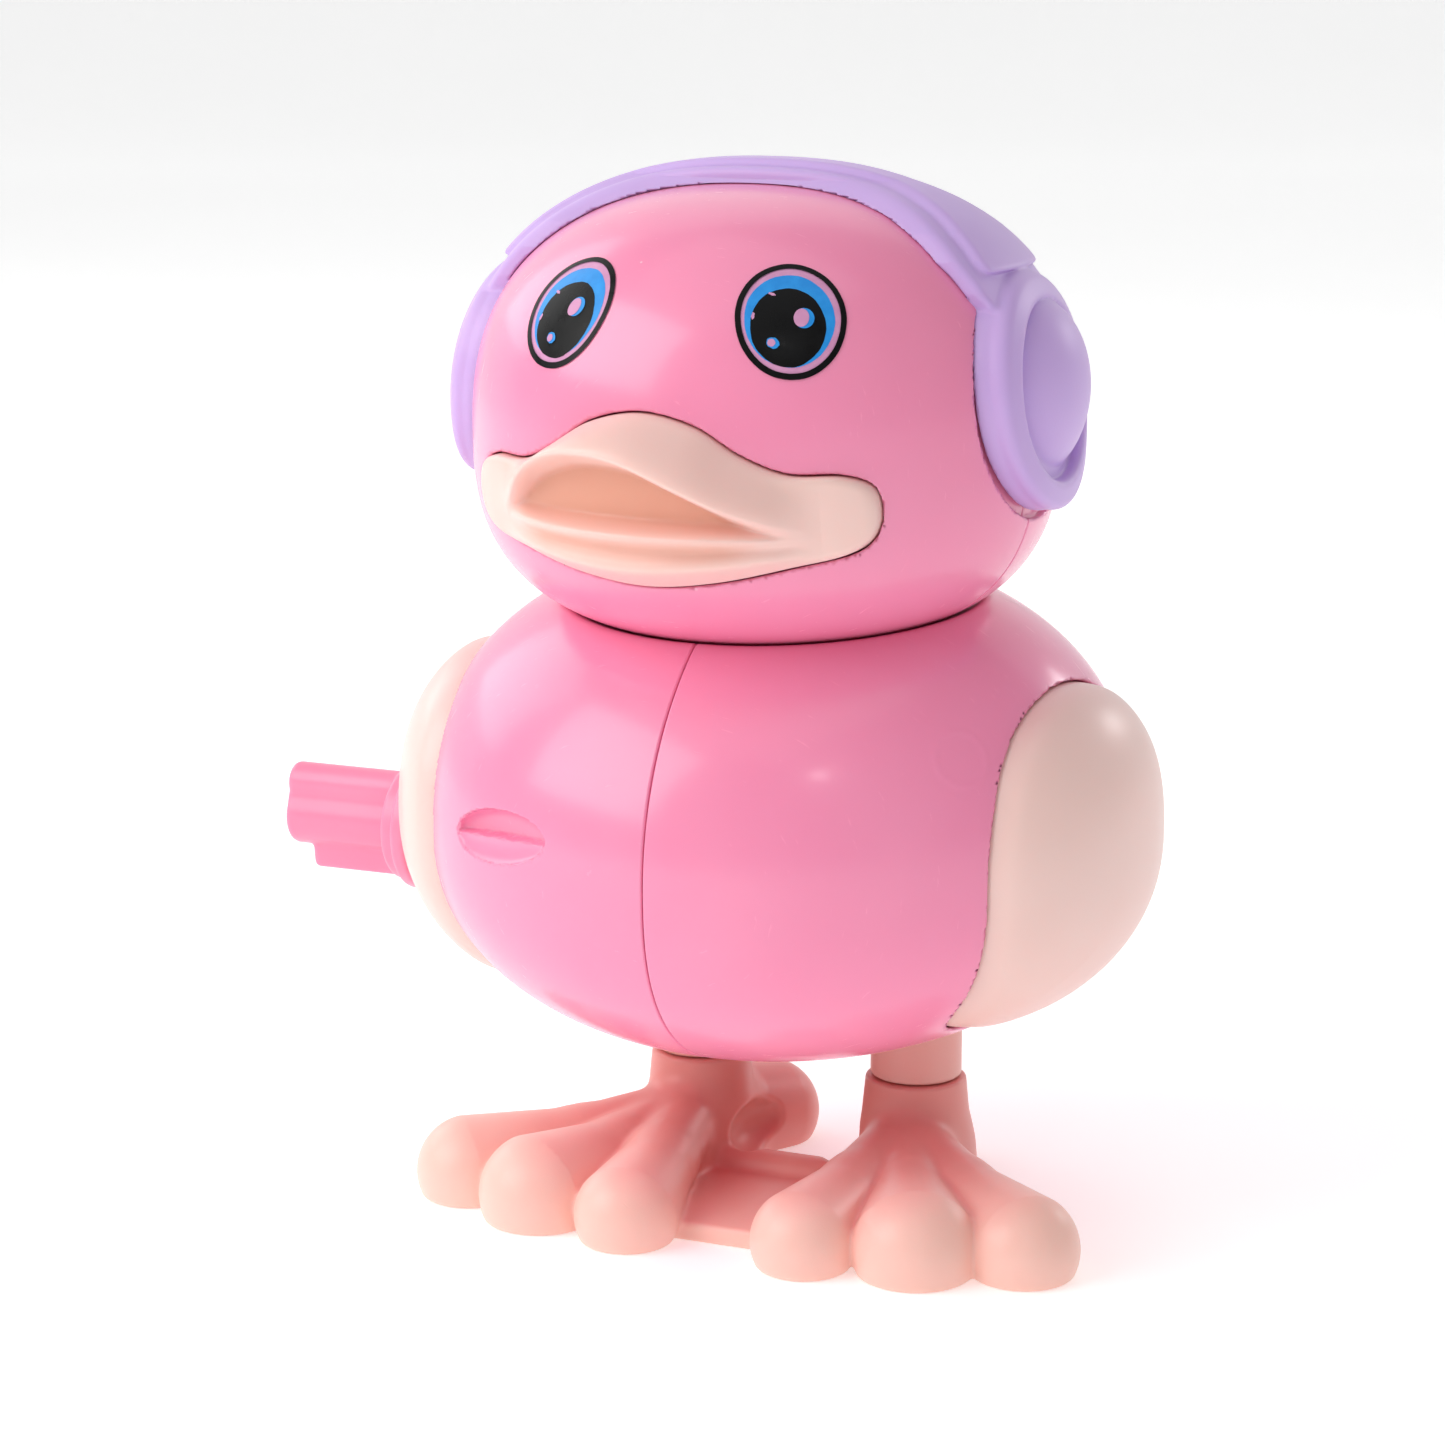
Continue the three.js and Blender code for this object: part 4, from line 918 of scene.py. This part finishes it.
def printed_eye(name, azimuth, height, turn, shift):
    """One eye as layers of ink laid on the head's skin. Azimuth counts from the duck's nose to its left."""
    angle = math.radians(azimuth)
    around = np.array([math.sin(angle), -math.cos(angle), 0.0])
    centre = np.array([0, HEAD_Y, 0]) + around * float(hull_radius(HEAD, np.array(height))) + [0, 0, height]
    out = unit_rows(slopes(head_hull, centre[None]))[0]
    across = np.cross([0, 0, 1], out)
    across /= np.linalg.norm(across)
    up = np.cross(out, across)
    lean = math.radians(4)
    c, s = math.cos(turn), math.sin(turn)

    def about(u, v):
        return (shift[0] + c * u - s * v, shift[1] + s * u + c * v)

    layers = [
        (INK_LILAC, filled(disc((3.95, 4.5), lean=lean))),
        (INK_BLUE, filled(disc((3.42, 3.82), (shift[0] * 0.4, shift[1] * 0.1), lean, wobble=0.004, phase=1.0))),
        (INK_BLACK, filled(disc((2.86, 3.2), about(0, 0), lean, wobble=0.006, phase=azimuth))),
        (INK_LILAC, filled(disc((0.28, 0.12), about(-1.1, 2.72), 0.4, 24, 0.12, 2.0), 2)),
        (INK_LILAC, filled(disc((0.12, 0.3), about(-2.6, 0.9), 0.2, 24, 0.12, 4.0), 2)),
        (INK_BLACK, hooped(*(disc(radii, lean=lean, wobble=0.002) for radii in ((4.22, 4.82), (3.78, 4.36))))),
        (INK_BLUE, filled(disc((0.78, 0.84), about(1.22, 0.62), 0.2))),
        (INK_BLUE, filled(disc((0.5, 0.42), about(-1.2, -1.35), 0.5, wobble=0.03))),
        (INK_LILAC, filled(disc((0.58, 0.76), about(1.02, 0.64), 0.2))),
        (INK_LILAC, filled(disc((0.3, 0.3), about(-1.32, -1.33), 0.5, wobble=0.03))),
    ]
    points, faces, kinds = [], [], []
    inks = [INK_BLACK, INK_BLUE, INK_LILAC]
    for depth, (kind, (flat, cells)) in enumerate(layers, 1):
        start = len(points)
        raised = centre + flat[:, :1] * across + flat[:, 1:] * up
        for _ in range(6):
            raised = raised - (head_hull(*raised.T) - 0.01 - FILM * depth)[:, None] * out / 0.95
        points += raised.tolist()
        faces += [tuple(start + i for i in cell) for cell in cells]
        kinds += [inks.index(kind)] * len(cells)
    points = np.array(points)
    eye = mesh_object(name, points, faces, unit_rows(slopes(head_hull, points)))
    return eye, kinds, inks


for label, azimuth, turn, shift in (("left", 27.1, 0.0, (-0.25, -0.67)), ("right", -23.7, 0.38, (0.07, -0.8))):
    eye, kinds, inks = printed_eye(f"eye_print_{label}", azimuth, 78.15, turn, shift)
    for kind in inks:
        eye.data.materials.append(kind)
    eye.data.polygons.foreach_set("material_index", kinds)
    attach(eye, "head")

# ---------- CAD pieces that keep their own shape ----------
SLOT_FINISH = {"case_plastic": CASE, "gear_plastic": GEAR, "steel": STEEL, "spring_steel": SPRING_STEEL}
for entry in frame["record"]["subparts"]:
    finish = SLOT_FINISH.get(entry["material_slot"])
    if finish:
        node = frame["nodes"][entry["node"]]
        node.data.materials.clear()
        node.data.materials.append(finish)


# ---------- floor, light and camera ----------
def paper():
    material, w, surface = new_material("white paper floor")
    place = w.node("ShaderNodeTexCoord").outputs["Object"]
    tone = w.noise(place, 6.0, 2.0)
    w.feed(surface.inputs["Base Color"], w.mix(tone, (0.93, 0.93, 0.93, 1), (0.96, 0.96, 0.96, 1)))
    surface.inputs["Roughness"].default_value = 0.8
    surface.inputs["Specular IOR Level"].default_value = 0.2
    surface.inputs["Emission Color"].default_value = (1, 1, 1, 1)
    surface.inputs["Emission Strength"].default_value = 0.34
    return material


def sweep(camera_azimuth):
    """A paper sheet, flat under the duck and curving up into a wall behind it."""
    bend = [(1300 + 600 * math.sin(k), 600 - 600 * math.cos(k)) for k in np.linspace(0, math.pi / 2, 24)]
    profile = [(-2500, 0), (-400, 0), (0, 0), (400, 0)] + bend + [(1900, 2600)]
    a = math.radians(camera_azimuth)
    away, sideways = np.array((-math.sin(a), math.cos(a), 0)), np.array((math.cos(a), math.sin(a), 0))
    points = [away * s + sideways * w + (0, 0, h) for s, h in profile for w in (-3500, 3500)]
    faces = [(2 * i, 2 * i + 1, 2 * i + 3, 2 * i + 2) for i in range(len(profile) - 1)]
    sheet = mesh_object("floor", points, faces)
    sheet.data.materials.append(paper())
    return sheet


CAMERA_AZIMUTH, CAMERA_ELEVATION = 23.0, 12.4
floor = sweep(CAMERA_AZIMUTH)

TARGET = Vector((-5.2, 0.0, 41.4)) * MM    # what the camera and the lamps look at


def direction(azimuth, elevation):
    """From the duck outwards: azimuth counts from its front to its left."""
    a, e = math.radians(azimuth), math.radians(elevation)
    return Vector((math.sin(a) * math.cos(e), -math.cos(a) * math.cos(e), math.sin(e)))


def aimed(thing, azimuth, elevation, distance):
    """Stands a lamp or a camera off from the duck, looking at it."""
    towards = direction(azimuth, elevation)
    thing.location = TARGET + towards * distance
    thing.rotation_euler = towards.to_track_quat("Z", "Y").to_euler()


def area_light(name, azimuth, elevation, distance, size, watts, colour=(1, 1, 1)):
    data = bpy.data.lights.new(name, "AREA")
    data.shape = "RECTANGLE"
    data.size, data.size_y = size
    data.energy = watts
    data.color = colour
    aimed(placed(name, data), azimuth, elevation, distance)


area_light("window", -45, 33, 0.62, (0.5, 0.4), 2.1, (1.0, 0.985, 0.965))
area_light("left_wall", -105, 30, 0.75, (0.45, 0.45), 0.9)
area_light("overhead", -20, 78, 0.9, (0.9, 0.9), 1.3)
area_light("glint", 30, 41, 0.8, (0.06, 0.06), 0.12)
area_light("rim", 150, 20, 0.7, (0.16, 0.12), 0.35)

world = bpy.data.worlds.new("studio")
world.use_nodes = True
sky = Wiring(world.node_tree)
sky_place = sky.node("ShaderNodeTexCoord").outputs["Generated"]
height = sky.node("ShaderNodeSeparateXYZ", {}, Vector=sky_place).outputs[2]
backdrop = world.node_tree.nodes["Background"]
sky.feed(backdrop.inputs["Strength"], sky.spread(height, -0.1, 0.5, 0.5, 0.4))
backdrop.inputs["Color"].default_value = (1, 1, 1, 1)
bpy.context.scene.world = world
bpy.context.scene.view_settings.view_transform = "Standard"

CAMERA_DISTANCE = 0.312
camera_data = bpy.data.cameras.new("camera")
camera_data.lens = 92.7
camera_data.sensor_width = 36.0
camera_data.clip_start = 0.01
camera = placed("camera", camera_data)
aimed(camera, CAMERA_AZIMUTH, CAMERA_ELEVATION, CAMERA_DISTANCE)
bpy.context.scene.camera = camera
